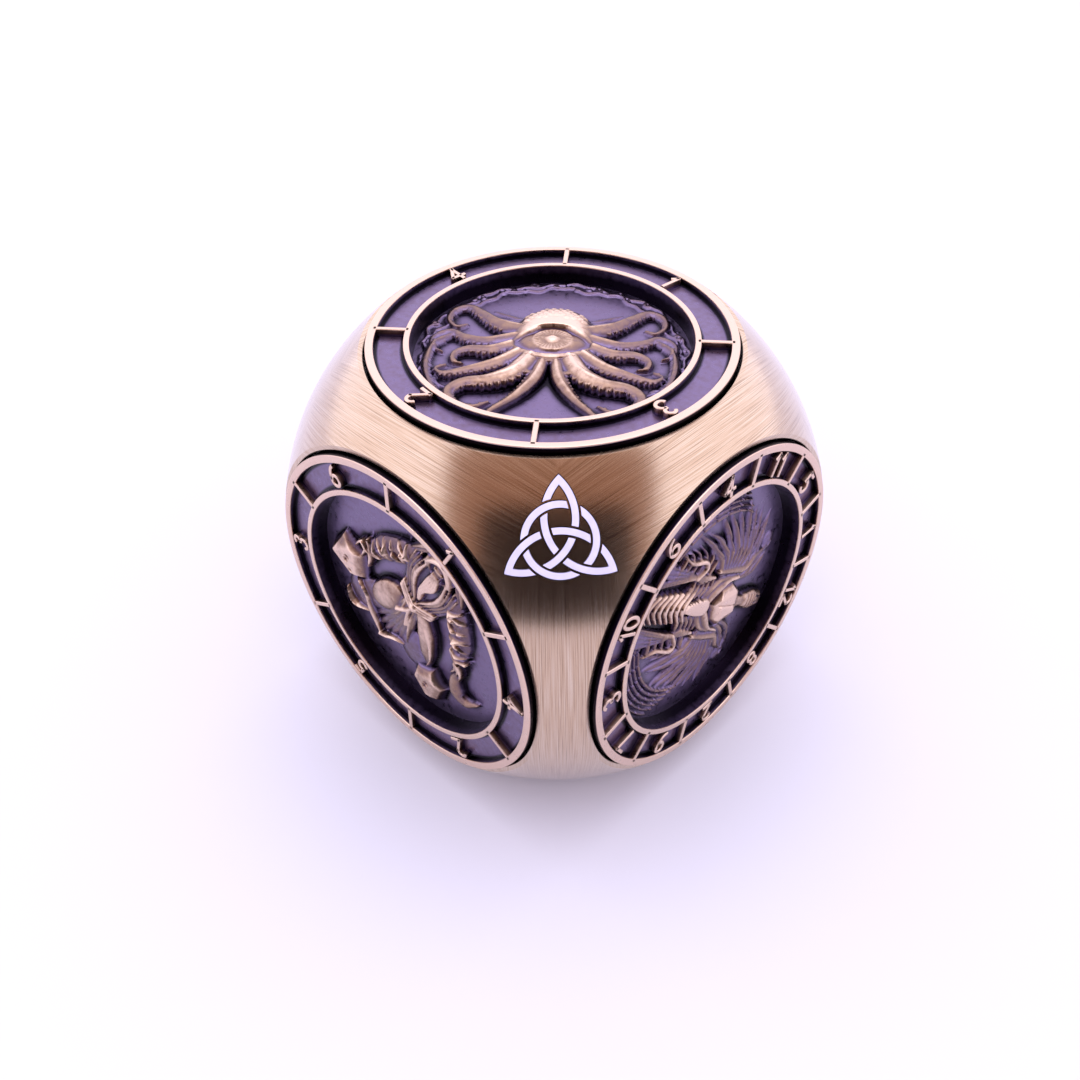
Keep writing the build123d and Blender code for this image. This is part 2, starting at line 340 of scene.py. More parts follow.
def brushed_bronze():
    material, tree, shader, here = new_material("brushed_antique_bronze")
    absolute = add_node(tree, "ShaderNodeVectorMath", {0: here}, operation="ABSOLUTE")
    sides = add_node(tree, "ShaderNodeSeparateXYZ", {0: absolute.outputs[0]})
    x, y, z = (sides.outputs[name] for name in "XYZ")

    def smaller(first, second):
        """1 where the first distance is the smaller, with a narrow blend."""
        gap = add_node(tree, "ShaderNodeMath", {0: second, 1: first}, operation="SUBTRACT")
        ramp = add_node(
            tree,
            "ShaderNodeMapRange",
            {"Value": gap.outputs[0]},
            {"From Min": -0.5 * METRE, "From Max": 0.5 * METRE},
            interpolation_type="SMOOTHSTEP",
        )
        return ramp.outputs["Result"]

    def product(first, second):
        node = add_node(tree, "ShaderNodeMath", {0: first, 1: second}, operation="MULTIPLY")
        return node.outputs[0]

    along_x = product(smaller(x, y), smaller(x, z))
    along_y = product(smaller(y, x), smaller(y, z))
    signed = add_node(tree, "ShaderNodeSeparateXYZ", {0: here})

    def scratches(axis, pitch, length, seed):
        """Noise drawn out along one axis, on the surface of the ball."""
        first, second = (signed.outputs[name] for name in "XYZ" if name != "XYZ"[axis])
        around = add_node(tree, "ShaderNodeMath", {0: second, 1: first}, operation="ARCTAN2")
        across = add_node(
            tree,
            "ShaderNodeMath",
            {0: around.outputs[0]},
            {1: ball_radius / pitch},
            operation="MULTIPLY",
        )
        forward = add_node(
            tree,
            "ShaderNodeMath",
            {0: signed.outputs["XYZ"[axis]]},
            {1: 1 / (length * METRE)},
            operation="MULTIPLY",
        )
        laid = add_node(
            tree,
            "ShaderNodeCombineXYZ",
            {"X": forward.outputs[0], "Y": across.outputs[0]},
            {"Z": seed},
        )
        noise = add_node(
            tree,
            "ShaderNodeTexNoise",
            {"Vector": laid.outputs[0]},
            {"Scale": 1.0, "Detail": 3.0, "Roughness": 0.65},
        )
        return noise.outputs["Fac"]

    def three_ways(pitch, length, seed):
        """The same scratches along each of the three axes, mixed by which one is nearest."""
        ways = [scratches(axis, pitch, length, seed) for axis in (2, 0, 1)]
        mixed = ways[0]
        for share, way in zip((along_x, along_y), ways[1:]):
            node = add_node(tree, "ShaderNodeMix", {"Factor": share, "A": mixed, "B": way})
            mixed = node.outputs[0]
        return mixed

    fine = three_ways(SCRATCH_PITCH, SCRATCH_LENGTH, 1.0)
    coarse = three_ways(2.4 * SCRATCH_PITCH, 1.2 * SCRATCH_LENGTH, 5.0)
    both = add_node(
        tree, "ShaderNodeMath", {0: coarse, 2: fine}, {1: COARSE_SHARE}, operation="MULTIPLY_ADD"
    )
    lines = add_node(
        tree,
        "ShaderNodeMapRange",
        {"Value": both.outputs[0]},
        {"From Min": 0.38, "From Max": 0.98},
    )
    rub_and_shade = add_node(tree, "ShaderNodeAttribute", attribute_name="rub_and_shade")
    metals = add_node(tree, "ShaderNodeValToRGB", {"Fac": lines.outputs["Result"]})
    ramp = metals.color_ramp
    ramp.elements[0].color = colour("#5A3F2A")
    ramp.elements[1].color = colour("#DFCFBC")
    middle = ramp.elements.new(0.42)
    middle.color = colour("#BEA184")
    # Walls and channels keep the dark patina that the belt takes off the skin. On the pocket
    # walls the near-black is also painted shade, in the gap round each dial.
    mixer = {"factor": 0, "first": 6, "second": 7, "result": 2}  # sockets of a colour mix
    skin = add_node(
        tree,
        "ShaderNodeMix",
        {mixer["factor"]: rub_and_shade.outputs["Fac"], mixer["second"]: metals.outputs["Color"]},
        {mixer["first"]: colour("#0E0910")},
        data_type="RGBA",
    )
    tree.links.new(skin.outputs[mixer["result"]], shader.inputs["Base Color"])
    shader.inputs["Metallic"].default_value = 1.0
    shader.inputs["Roughness"].default_value = 0.22
    # A coat of clear lacquer keeps the brushed metal from tarnishing.
    shader.inputs["Coat Weight"].default_value = 0.9
    shader.inputs["Coat Roughness"].default_value = 0.22
    bump = add_node(
        tree,
        "ShaderNodeBump",
        {"Height": both.outputs[0]},
        {"Strength": 0.22, "Distance": 0.012 * METRE},
    )
    tree.links.new(bump.outputs["Normal"], shader.inputs["Normal"])
    return material


brushed_bronze_finish = brushed_bronze()
print("made", brushed_bronze_finish.name)

# %% [markdown]
# ## White enamel and bearing steel
# The knot's channels are filled with soft enamel, a glossy white resin with a breath of
# lavender. Inside the die the bearings are plain ground and polished steel.


# %% Enamel and steel
def enamel():
    material, tree, shader, here = new_material("white_soft_enamel")
    cloud = add_node(
        tree,
        "ShaderNodeTexNoise",
        {"Vector": here},
        {"Scale": 1 / (0.6 * METRE), "Detail": 3.0},
    )
    tint = add_node(tree, "ShaderNodeValToRGB", {"Fac": cloud.outputs["Fac"]})
    tint.color_ramp.elements[0].color = colour("#B6B0D2")
    tint.color_ramp.elements[1].color = colour("#D0CAE8")
    tree.links.new(tint.outputs["Color"], shader.inputs["Base Color"])
    shader.inputs["Roughness"].default_value = 0.12
    shader.inputs["IOR"].default_value = 1.5
    return material


def steel(name, code, roughness, grain):
    """Ground or polished steel; grain is the size of its finest marks, in millimetres."""
    material, tree, shader, here = new_material(name)
    marks = add_node(
        tree,
        "ShaderNodeTexNoise",
        {"Vector": here},
        {"Scale": 1 / (grain * METRE), "Detail": 2.0},
    )
    gloss = add_node(
        tree,
        "ShaderNodeMapRange",
        {"Value": marks.outputs["Fac"]},
        {"To Min": roughness * 0.8, "To Max": roughness * 1.25},
    )
    tree.links.new(gloss.outputs["Result"], shader.inputs["Roughness"])
    shader.inputs["Base Color"].default_value = colour(code)
    shader.inputs["Metallic"].default_value = 1.0
    return material


enamel_finish = enamel()
steels = {
    "race": steel("ground_bearing_steel", "#B9BCC2", 0.28, 0.15),
    "balls": steel("polished_ball_steel", "#D4D6DA", 0.08, 0.3),
    "cage": steel("pressed_cage_steel", "#A9A9A6", 0.38, 0.2),
    "shields": steel("pressed_shield_steel", "#BFC1C4", 0.32, 0.2),
}
for name, node in frame["nodes"].items():
    for word, finish in steels.items():
        if name.startswith("bearing_") and word in name:
            finish_with(node, finish)
print("steel on the bearings' nodes")

# %% [markdown]
# ## The enamel knots
# A knot of three pointed loops woven through a ring marks two of the ball's corners. On the
# real die its channels are engraved, patinated dark, and filled with enamel. Flat ribbons are
# drawn first. Where one passes under another, a wider copy of the upper one parts it. Then
# every point is lifted on to the ball.

# %% Draw a knot
KNOT_ARC = 3.25
KNOT_REACH = 4.63 / sqrt(3)  # from the knot's middle to the centre of each arc
KNOT_RING = 2.15
KNOT_BAND = 0.46
KNOT_PART = 0.13  # bare metal each side of an upper band
KNOT_DEPTH = 0.30
KNOT_SHRINK = 0.025  # the enamel stands this far inside its channel's line
CHANNEL_SPARE = 0.035  # and the channel this far outside it
RING_CROSSING = 41.1  # degrees along an arc to where it meets the ring
ARC_CROSSING = 14.6  # and to where it meets another arc
ARC_CUT = 14  # degrees of arc each side of a crossing that a parting cut spans
RING_CUT = 24
SIDE_STEPS = 3  # divisions across a band
knots = {"front": ((1, -1, 1), (0, 0, 1)), "back": ((-1, 1, -1), (0, 0, -1))}


def ribbon(name, middle, radius, half, low, high, first, last):
    """A flat band along part of a circle, as a closed solid."""
    steps = max(6, int(abs(last - first) / 1.5))
    ring = abs(last - first) == 360
    points, faces = [], []
    for i in range(steps + (not ring)):
        for across in np.linspace(-half, half, SIDE_STEPS + 1):
            angle = radians(first + (last - first) * i / steps)
            for height in (low, high):
                r = radius + across
                points.append((middle[0] + r * cos(angle), middle[1] + r * sin(angle), height))
    row = 2 * (SIDE_STEPS + 1)
    count = len(points) // row
    for i in range(steps):
        here, there = i * row, ((i + 1) % count) * row
        for j in range(SIDE_STEPS):
            k = 2 * j
            faces.append((here + k, here + k + 2, there + k + 2, there + k))
            faces.append((here + k + 1, there + k + 1, there + k + 3, here + k + 3))
        side = 2 * SIDE_STEPS
        faces.append((here, there, there + 1, here + 1))
        faces.append((here + side, here + side + 1, there + side + 1, there + side))
    if not ring:
        for start in (0, (count - 1) * row):
            for j in range(SIDE_STEPS):
                k = start + 2 * j
                faces.append((k, k + 1, k + 3, k + 2))
    mesh = bpy.data.meshes.new(name)
    mesh.from_pydata(points, [], faces)
    obj = bpy.data.objects.new(name, mesh)
    bpy.context.scene.collection.objects.link(obj)
    face_outwards(obj)
    return obj


def join(objects, name):
    """Joins meshes into one object."""
    bpy.ops.object.select_all(action="DESELECT")
    for obj in objects:
        obj.select_set(True)
    bpy.context.view_layer.objects.active = objects[0]
    bpy.ops.object.join()
    return named(name)


def cut_away(obj, cutter):
    """Cuts one mesh with another and deletes the cutter."""
    settings = {"operation": "DIFFERENCE", "object": cutter, "solver": "MANIFOLD"}
    apply_modifier(obj, "BOOLEAN", **settings)
    bpy.data.objects.remove(cutter)


def arc_frame(k):
    """An arc's centre, and the angle from it to its middle."""
    tip = 90 + 120 * k
    return (-KNOT_REACH * cos(radians(tip)), -KNOT_REACH * sin(radians(tip))), tip


def knot_bands(half, low, high, parted):
    """The four bands of the knot; parted leaves gaps where one passes under another."""
    wide = KNOT_BAND / 2 + KNOT_PART
    tall = (low - 1, high + 1)
    end = 30 + degrees(acos((KNOT_REACH * sqrt(3)) / (2 * (KNOT_ARC + half))))
    bands = []
    for k in range(3):
        middle, tip = arc_frame(k)
        band = ribbon("band", middle, KNOT_ARC, half, low, high, tip - end, tip + end)
        if parted:
            # Under the ring at one end, and under the next arc past its middle
            ring = direction_of(middle, KNOT_ARC, tip - RING_CROSSING)
            span = (ring - RING_CUT, ring + RING_CUT)
            cut_away(band, ribbon("cut", (0, 0), KNOT_RING, wide, *tall, *span))
            over, over_tip = arc_frame(k + 1)
            cross = over_tip - ARC_CROSSING
            span = (cross - ARC_CUT, cross + ARC_CUT)
            cut_away(band, ribbon("cut", over, KNOT_ARC, wide, *tall, *span))
        bands.append(band)
    ring = ribbon("band", (0, 0), KNOT_RING, half, low, high, 0, 360)
    if parted:
        for k in range(3):
            middle, tip = arc_frame(k)
            cross = tip + RING_CROSSING
            span = (cross - ARC_CUT, cross + ARC_CUT)
            cut_away(ring, ribbon("cut", middle, KNOT_ARC, wide, *tall, *span))
    return bands + [ring]


def direction_of(middle, radius, angle):
    """The direction from the knot's middle to a spot on one of its arcs."""
    x = middle[0] + radius * cos(radians(angle))
    y = middle[1] + radius * sin(radians(angle))
    return degrees(atan2(y, x))


def on_ball(obj):
    """Bends a flat piece round the ball: its height becomes height over the ball's skin."""
    points = corners(obj)
    flat = np.hypot(points[:, 0], points[:, 1])
    lean = flat / ball_radius
    out = ball_radius + points[:, 2]
    shrink = np.where(flat > 0, out * np.sin(lean) / np.maximum(flat, 1e-9), 1)
    level = points[:, :2] * shrink[:, None]
    set_corners(obj, np.column_stack([level, out * np.cos(lean)]))


def knot_facing(key):
    """The turn that carries a knot modelled towards +Z on to its corner."""
    corner, first_face = knots[key]
    out = Vector(corner).normalized()
    aim = Vector(first_face)
    up = (aim - out * aim.dot(out)).normalized()
    return Matrix((up.cross(out), up, out)).transposed().to_4x4()


for key in knots:
    # It reaches a hair below its channel's floor, so that no gap shows.
    bands = knot_bands(KNOT_BAND / 2 - KNOT_SHRINK, -KNOT_DEPTH - 0.02, 0.0, True)
    enamel_piece = join(bands, "enamel_" + key)
    on_ball(enamel_piece)
    bevel(enamel_piece, 0.05, 3, 50)
    smooth(enamel_piece, 50)
    finish_with(enamel_piece, enamel_finish)
    place(enamel_piece, knot_facing(key), "body", "white_enamel", "knot_enamel_" + key)

# %% [markdown]
# ## The casting
# The body starts as an ico sphere, whose even triangles give clean highlights. One turned
# cutter makes a flat with its pocket: a broad disc takes the cap off the ball, a stepped plug
# below it sinks the pocket, and the step between them is the broken edge of the pocket's mouth.
# Six copies of it and the channels of both knots are taken from the ball.


# %% Model the casting
POCKET_STEPS = 256  # divisions round a pocket
PLATE_STEPS = 240  # and round a dial


def turned(name, outline, steps):
    """Spins an outline of (radius, height) points round Z into a closed solid."""
    mesh = bpy.data.meshes.new(name)
    edges = [(i, i + 1) for i in range(len(outline) - 1)]
    mesh.from_pydata([(r, 0, z) for r, z in outline], edges, [])
    obj = bpy.data.objects.new(name, mesh)
    bpy.context.scene.collection.objects.link(obj)
    only(obj)
    bpy.ops.object.mode_set(mode="EDIT")
    bpy.ops.mesh.select_all(action="SELECT")
    bpy.ops.mesh.spin(steps=steps, angle=tau, center=(0, 0, 0), axis=(0, 0, 1))
    bpy.ops.object.mode_set(mode="OBJECT")
    face_outwards(obj)
    return named(name)


def casting():
    bpy.ops.mesh.primitive_ico_sphere_add(subdivisions=6, radius=ball_radius)
    body = named("brushed_body")
    pocket_radius = dial_radius + dial_gap
    above = ball_radius + 2
    deep = pocket_floor - 0.3  # the bearing and its seat hide the pocket's floor
    outline = [
        (0, deep),
        (pocket_radius, deep),
        (pocket_radius, flat_height - mouth_bevel),
        (pocket_radius + 0.3 * mouth_bevel, flat_height - 0.3 * mouth_bevel),
        (pocket_radius + mouth_bevel, flat_height),
        (above, flat_height),
        (above, above),
        (0, above),
    ]
    for key in dials:
        cutter = turned("cutter", outline, POCKET_STEPS)
        cutter.data.transform(facing(key))
        cut_away(body, cutter)
    for key in knots:
        for band in knot_bands(KNOT_BAND / 2 + CHANNEL_SPARE, -KNOT_DEPTH, 0.6, True):
            on_ball(band)
            band.data.transform(knot_facing(key))
            cut_away(body, band)
    # Skin, flats and mouths are polished; the walls and floors under them keep their patina,
    # and the pocket walls' near-black is painted shade as well.
    points = corners(body)
    out = np.linalg.norm(points, axis=1)
    reach = np.abs(points).max(axis=1)
    bright = (out > ball_radius - 0.01) | (reach > flat_height - 1.2 * mouth_bevel)
    paint(body, bright)
    print("the casting has", len(points), "points")
    return body


body = casting()
smooth(body, 20)
finish_with(body, brushed_bronze_finish)
place(body, Matrix(), "body", "antique_bronze_body", "body_casting")

# %% [markdown]
# ## The dials' plates
# A dial is turned and cast round one axis, so its outline is drawn once and spun. The outline
# runs from the foot of the stem, out along the back, over the rim, across the sunk number
# ring and its inner ring, and down to the floor of the picture recess.


# %% Spin a plate
def plate(key):
    rim_inner = dial_radius - rim_width
    number_floor = face_height - number_depth
    medal_floor = face_height - medal_depth
    shade = 0.12  # how far down a wall the rubbing wheel reaches
    # Painted shade: the floor darkens towards each wall's foot over this distance.
    corner_shade = 0.30  # how far the dark corner at a wall's foot spreads over the floor
    foot = casting_draft
    # Radius, height, and how brightly that line round the dial is rubbed; low means patina and
    # painted shade
    outline = [
        (0, stem_end, 0.3),
        (stem_radius - stem_bevel, stem_end, 0.3),
        (stem_radius, stem_end + stem_bevel, 0.3),
        (stem_radius, pocket_floor, 0.3),
        (collar_radius, pocket_floor, 0.3),
        (collar_radius, dial_back, 0.1),
        (dial_radius - dial_bevel, dial_back, 0.1),
        (dial_radius, dial_back + dial_bevel, 0.0),
        (dial_radius, face_height - shade, 0.05),
        (dial_radius, face_height, 0.95),
        (rim_inner, face_height, 0.95),
        (rim_inner - 0.25 * foot, face_height - shade, 0.18),
        (rim_inner - foot, number_floor, 0.0),
        (rim_inner - foot - corner_shade, number_floor, 0.26),
        (ring_outer_radius + foot + corner_shade, number_floor, 0.26),
        (ring_outer_radius + foot, number_floor, 0.0),
        (ring_outer_radius + 0.25 * foot, face_height - shade, 0.18),
        (ring_outer_radius, face_height, 0.95),
        (ring_inner_radius, face_height, 0.95),
        (ring_inner_radius - 0.2 * foot, face_height - shade, 0.15),
        (ring_inner_radius - 2 * foot, medal_floor, 0.0),
        (0, medal_floor, 0.0),
    ]
    obj = turned("dial_plate_" + key, [(r, z) for r, z, _ in outline], PLATE_STEPS)
    bevel(obj, 0.045, 2, 40)
    # Every point takes the value of the outline's point nearest to it.
    points = corners(obj)
    section = np.column_stack([np.hypot(points[:, 0], points[:, 1]), points[:, 2]])
    lines = np.array(outline)
    away = np.linalg.norm(section[:, None] - lines[None, :, :2], axis=2)
    paint(obj, lines[away.argmin(axis=1), 2])
    smooth(obj, 35)
    return obj


for key in dials:
    dial_plate = plate(key)
    finish_with(dial_plate, cast_bronze_finish)
    place(dial_plate, facing(key), "dial_" + key, "antique_bronze_dial", "dial_" + key)

# %% [markdown]
# ## Dividers and numerals
# The numbers are cast proud of the ring floor, as high as the rim, in a light one-line hand.
# Each stroke is drawn as a line, and one tapered profile is swept along them all. A stroke
# that turns a corner is two strokes, so that the corner stays full.

# %% Write the numerals
NUMERAL_HEIGHT = 1.48
NUMERAL_RADIUS = 10.96
PEN_WIDTH = 0.26
DIGIT_PITCH = 0.92


def pen_line(*points):
    """Straight strokes, each a little longer than its line, like a square pen's."""
    strokes = []
    for (x1, y1), (x2, y2) in zip(points, points[1:]):
        spare = 0.5 * PEN_WIDTH / NUMERAL_HEIGHT / hypot(x2 - x1, y2 - y1)
        dx, dy = (x2 - x1) * spare, (y2 - y1) * spare
        strokes.append([(x1 - dx, y1 - dy), (x2 + dx, y2 + dy)])
    return strokes


def pen_arc(x, y, radius_x, radius_y, start, end):
    """A stroke along part of an oval."""
    angles = np.radians(np.linspace(start, end, ceil(abs(end - start) / 8) + 1))
    return [[(x + radius_x * cos(a), y + radius_y * sin(a)) for a in angles]]


def half_turn(strokes):
    """The same strokes upside down."""
    return [[(-x, -y) for x, y in stroke] for stroke in strokes]


# Strokes in numeral heights, the digit's middle at the origin
six = pen_arc(0, -0.23, 0.27, 0.27, 0, 360) + pen_arc(0.3, -0.2, 0.53, 0.7, 92, 176)
digits = {
    "0": pen_arc(0, 0, 0.27, 0.5, 0, 360),
    "1": pen_line((0.04, -0.5), (0.04, 0.5), (-0.12, 0.3)),
    "2": pen_arc(0, 0.24, 0.26, 0.26, -30, 165) + pen_line(
        (0.236, 0.16), (-0.26, -0.5), (0.28, -0.5)
    ),
    "3": pen_arc(-0.02, 0.27, 0.23, 0.23, -80, 150) + pen_arc(0, -0.23, 0.27, 0.27, -165, 100),
    "4": pen_line((0.13, -0.5), (0.13, 0.5), (-0.3, -0.22), (0.31, -0.22)),
    "5": pen_arc(-0.02, -0.2, 0.28, 0.3, -150, 130) + pen_line(
        (0.24, 0.5), (-0.16, 0.5), (-0.19, 0.03)
    ),
    "6": six,
    "7": pen_line((-0.27, 0.5), (0.26, 0.5), (-0.08, -0.5)),
    "8": pen_arc(0, 0.26, 0.22, 0.23, 0, 360) + pen_arc(0, -0.24, 0.26, 0.27, 0, 360),
    "9": half_turn(six),
}


def swept(name, lines, width, foot_width, depth):
    """Sweeps a tapered profile with soft shoulders along flat lines, its top at height 0."""
    soft = 0.04
    half, foot = width / 2, foot_width / 2
    side = [(foot, -depth), (half, -soft), (half - soft, 0)]
    profile = [(-x, y) for x, y in side] + side[::-1]
    curves = []
    for outline, closed in ((profile, True), (lines, False)):
        curve = bpy.data.curves.new(name, "CURVE")
        curve.dimensions = "2D"
        for line in [outline] if closed else outline:
            loop = closed or hypot(line[0][0] - line[-1][0], line[0][1] - line[-1][1]) < 1e-6
            line = line[:-1] if loop and not closed else line
            spline = curve.splines.new("POLY")
            spline.points.add(len(line) - 1)
            for point, (x, y) in zip(spline.points, line):
                point.co = (x, y, 0, 1)
            spline.use_cyclic_u = loop
        obj = bpy.data.objects.new(name, curve)
        bpy.context.scene.collection.objects.link(obj)
        curves.append(obj)
    cross_section, path = curves
    path.data.bevel_mode = "OBJECT"
    path.data.bevel_object = cross_section
    path.data.use_fill_caps = True
    only(path)
    bpy.ops.object.convert(target="MESH")
    bpy.data.objects.remove(cross_section)
    face_outwards(path, merge=1e-4)
    return named(name)


def number_lines(key):
    """The numerals' and the dividers' lines on one dial, in millimetres."""
    _, first_divider, numbers, _ = dials[key]
    sector = 360 / len(numbers)
    bars, strokes = [], []
    for index, number in enumerate(numbers):
        angle = radians(first_divider + index * sector)
        bars.append([
            (r * cos(angle), r * sin(angle))
            for r in (ring_outer_radius - 0.2, dial_radius - rim_width + 0.2)
        ])
        turn = radians(first_divider + (index + 0.5) * sector - 90)
        text = str(number)
        for place_in_text, digit in enumerate(text):
            shift = DIGIT_PITCH * (place_in_text - (len(text) - 1) / 2)
            for stroke in digits[digit]:
                line = []
                for x, y in stroke:
                    x, y = x * NUMERAL_HEIGHT + shift, y * NUMERAL_HEIGHT + NUMERAL_RADIUS
                    line.append((x * cos(turn) - y * sin(turn), x * sin(turn) + y * cos(turn)))
                strokes.append(line)
    return bars, strokes


for key in dials:
    bars, strokes = number_lines(key)
    depth = number_depth + 0.1
    raised = join(
        [
            swept("dividers", bars, divider_width, divider_width + 0.12, depth),
            swept("strokes", strokes, PEN_WIDTH, PEN_WIDTH + 0.10, depth),
        ],
        "dial_numbers_" + key,
    )
    smooth(raised, 35)
    # Rubbed bright on top and darker down the sides: patina, and painted shade where each stroke
    # meets the ring floor.
    heights = corners(raised)[:, 2]
    paint(raised, 0.95 * np.clip(1 + heights / number_depth, 0, 1) ** 3)
    finish_with(raised, cast_bronze_finish)
    raised.data.transform(Matrix.Translation((0, 0, face_height)))
    place(raised, facing(key), "dial_" + key, "antique_bronze_dial", "dial_" + key)

# %% [markdown]
# ## Height maps for the pictures
# Each dial's middle holds a picture in low relief. A real one is cut by a machine that follows
# a height map, and modelling tools that work on separate shapes give it neither the soft
# overlaps nor the fine lines. So the pictures are made another way: a sheet of heights is
# pressed up and cut with a round tool drawn along smooth lines, as an engraver would do it.

# %% The engraver's sheet
RELIEF_RADIUS = 9.66  # the sheet's edge is buried in the ring's metal
RELIEF_CELLS = 320
LINE_STEP = 0.04  # how far the tool moves between two presses


def smooth_line(points):
    """Spots a step apart along a smooth curve through the given points."""
    p = np.asarray(points, float)
    p = np.vstack([2 * p[0] - p[1], p, 2 * p[-1] - p[-2]])
    spots = []
    for a, b, c, d in zip(p[:-3], p[1:-2], p[2:-1], p[3:]):
        count = max(2, ceil(np.hypot(*(c - b)) / LINE_STEP))
        t = np.linspace(0, 1, count, endpoint=False)[:, None]
        cubic = (3 * b - a - 3 * c + d) * t**3 + (2 * a - 5 * b + 4 * c - d) * t**2
        spots.append(0.5 * (cubic + (c - a) * t + 2 * b))
    spots.append(p[-2:-1])
    return np.vstack(spots)


def along(values, count):
    """Spreads a few values evenly along a line of count spots."""
    return np.interp(np.linspace(0, 1, count), np.linspace(0, 1, len(values)), values)


class Sheet:
    """Heights over a square, in millimetres, with the picture's up along y."""

    def __init__(self):
        self.line = np.linspace(-RELIEF_RADIUS, RELIEF_RADIUS, RELIEF_CELLS + 1)
        self.pitch = self.line[1] - self.line[0]
        self.height = np.zeros((RELIEF_CELLS + 1, RELIEF_CELLS + 1))

    def around(self, x, y, reach):
        """The rows and columns near a spot, and how far each lies from it."""
        spans = []
        for middle in (y, x):
            first = int((middle - reach + RELIEF_RADIUS) / self.pitch)
            last = int((middle + reach + RELIEF_RADIUS) / self.pitch) + 2
            spans.append(slice(max(first, 0), max(last, 0)))
        dx, dy = np.meshgrid(self.line[spans[1]] - x, self.line[spans[0]] - y)
        return tuple(spans), dx, dy

    def at(self, x, y):
        """The height at a spot."""
        row, column = (round((v + RELIEF_RADIUS) / self.pitch) for v in (y, x))
        return self.height[row, column]

    def oval(self, x, y, wide, tall, turn=0.0):
        """Where an oval is, and a value falling from 1 at its middle to 0 at its edge."""
        place, dx, dy = self.around(x, y, max(wide, tall))
        c, s = cos(radians(turn)), sin(radians(turn))
        u, v = (dx * c + dy * s) / wide, (dy * c - dx * s) / tall
        return place, np.clip(1 - u**2 - v**2, 0, 1)

    def dome(self, x, y, wide, tall, height, base=0.0, turn=0.0, blunt=0.5):
        """Presses up an oval bump standing on a base level."""
        place, inside = self.oval(x, y, wide, tall, turn)
        rise = np.where(inside > 0, base + height * inside**blunt, 0)
        self.height[place] = np.maximum(self.height[place], rise)

    def swell(self, x, y, wide, tall, height, turn=0.0):
        """Adds a bump to what is there, or sinks a pit if its height is negative."""
        place, inside = self.oval(x, y, wide, tall, turn)
        self.height[place] += height * inside**0.75

    def sink(self, x, y, wide, tall, level, turn=0.0):
        """Cuts an oval down to a level, with a soft shoulder."""
        place, inside = self.oval(x, y, wide, tall, turn)
        share = np.clip(inside * 6, 0, 1)
        old = self.height[place]
        self.height[place] = old + share * (np.minimum(old, level) - old)

    def stroke(self, points, widths, heights, base=(0.0,), blunt=0.5):
        """The heights that a round tool leaves along a line, and nought away from it."""
        field = np.zeros_like(self.height)
        path = smooth_line(points)
        settings = [along(v, len(path)) for v in (widths, heights, base)]
        for (x, y), width, height, low in zip(path, *settings):
            place, inside = self.oval(x, y, width, width)
            rise = np.where(inside > 0, low + height * inside**blunt, 0)
            field[place] = np.maximum(field[place], rise)
        return field

    def rope(self, points, widths, heights, base=(0.0,), blunt=0.5):
        """Presses up a rounded line, which hides what is lower."""
        field = self.stroke(points, widths, heights, base, blunt)
        self.height = np.maximum(self.height, field)

    def score(self, points, width, depth):
        """Cuts a groove."""
        self.height -= self.stroke(points, (width,), (depth,))

    def welt(self, points, widths, heights):
        """Adds a rounded line on top of whatever is there."""
        self.height += self.stroke(points, widths, heights)

    def gem(self, x, y, radius, height, base, sides, turn, crown):
        """Presses up a faceted stone: a rim of sloping sides and a flatter crown."""
        place, dx, dy = self.around(x, y, radius)
        rise = np.full(dx.shape, height)
        for count, reach, slope in ((sides, 0.87, 1.6), (crown, 0.40, 0.42)):
            for k in range(count):
                angle = radians(turn + 360 * k / count)
                out = dx * cos(angle) + dy * sin(angle)
                edge = height if count == crown else 0.0
                rise = np.minimum(rise, edge + slope * (reach * radius - out))
        rise = np.where(rise > 0, base + rise, 0)
        self.height[place] = np.maximum(self.height[place], rise)

    def blurred(self, radius):
        """The heights with everything smaller than a radius smoothed away."""
        steps = np.fft.fftfreq(len(self.line), self.pitch)
        keep = np.exp(-2 * (pi * radius * steps) ** 2)
        return np.fft.ifft2(np.fft.fft2(self.height) * keep[:, None] * keep).real


print("a sheet has", (RELIEF_CELLS + 1) ** 2, "heights")

# %% [markdown]
# ## Six pictures
# All six are designs of our own: a one-eyed octopus, a hooded sage with two dice, a winged
# guardian, a coiled serpent, a tree, and a bird of prey. Distances are in millimetres from the
# dial's middle. Most are symmetrical, so one side is drawn and the loop mirrors it.


# %% The octopus
def suckers(sheet, points, widths, side, start=0.15):
    """A row of round suckers along one edge of an arm."""
    path = smooth_line(points)
    spread = along(widths, len(path))
    ahead = np.gradient(path, axis=0)
    ahead /= np.linalg.norm(ahead, axis=1)[:, None]
    index = int(start * len(path))
    while index < len(path) - 4:
        width = spread[index]
        x = path[index, 0] - ahead[index, 1] * side * 0.80 * width
        y = path[index, 1] + ahead[index, 0] * side * 0.80 * width
        size = 0.10 + 0.16 * width
        sheet.dome(x, y, size, size, 0.22, base=max(sheet.at(x, y) - 0.12, 0.02))
        sheet.swell(x, y, size * 0.45, size * 0.45, -0.10)
        index += max(3, int(2.1 * size / LINE_STEP))


ARM_FULLNESS = 0.88


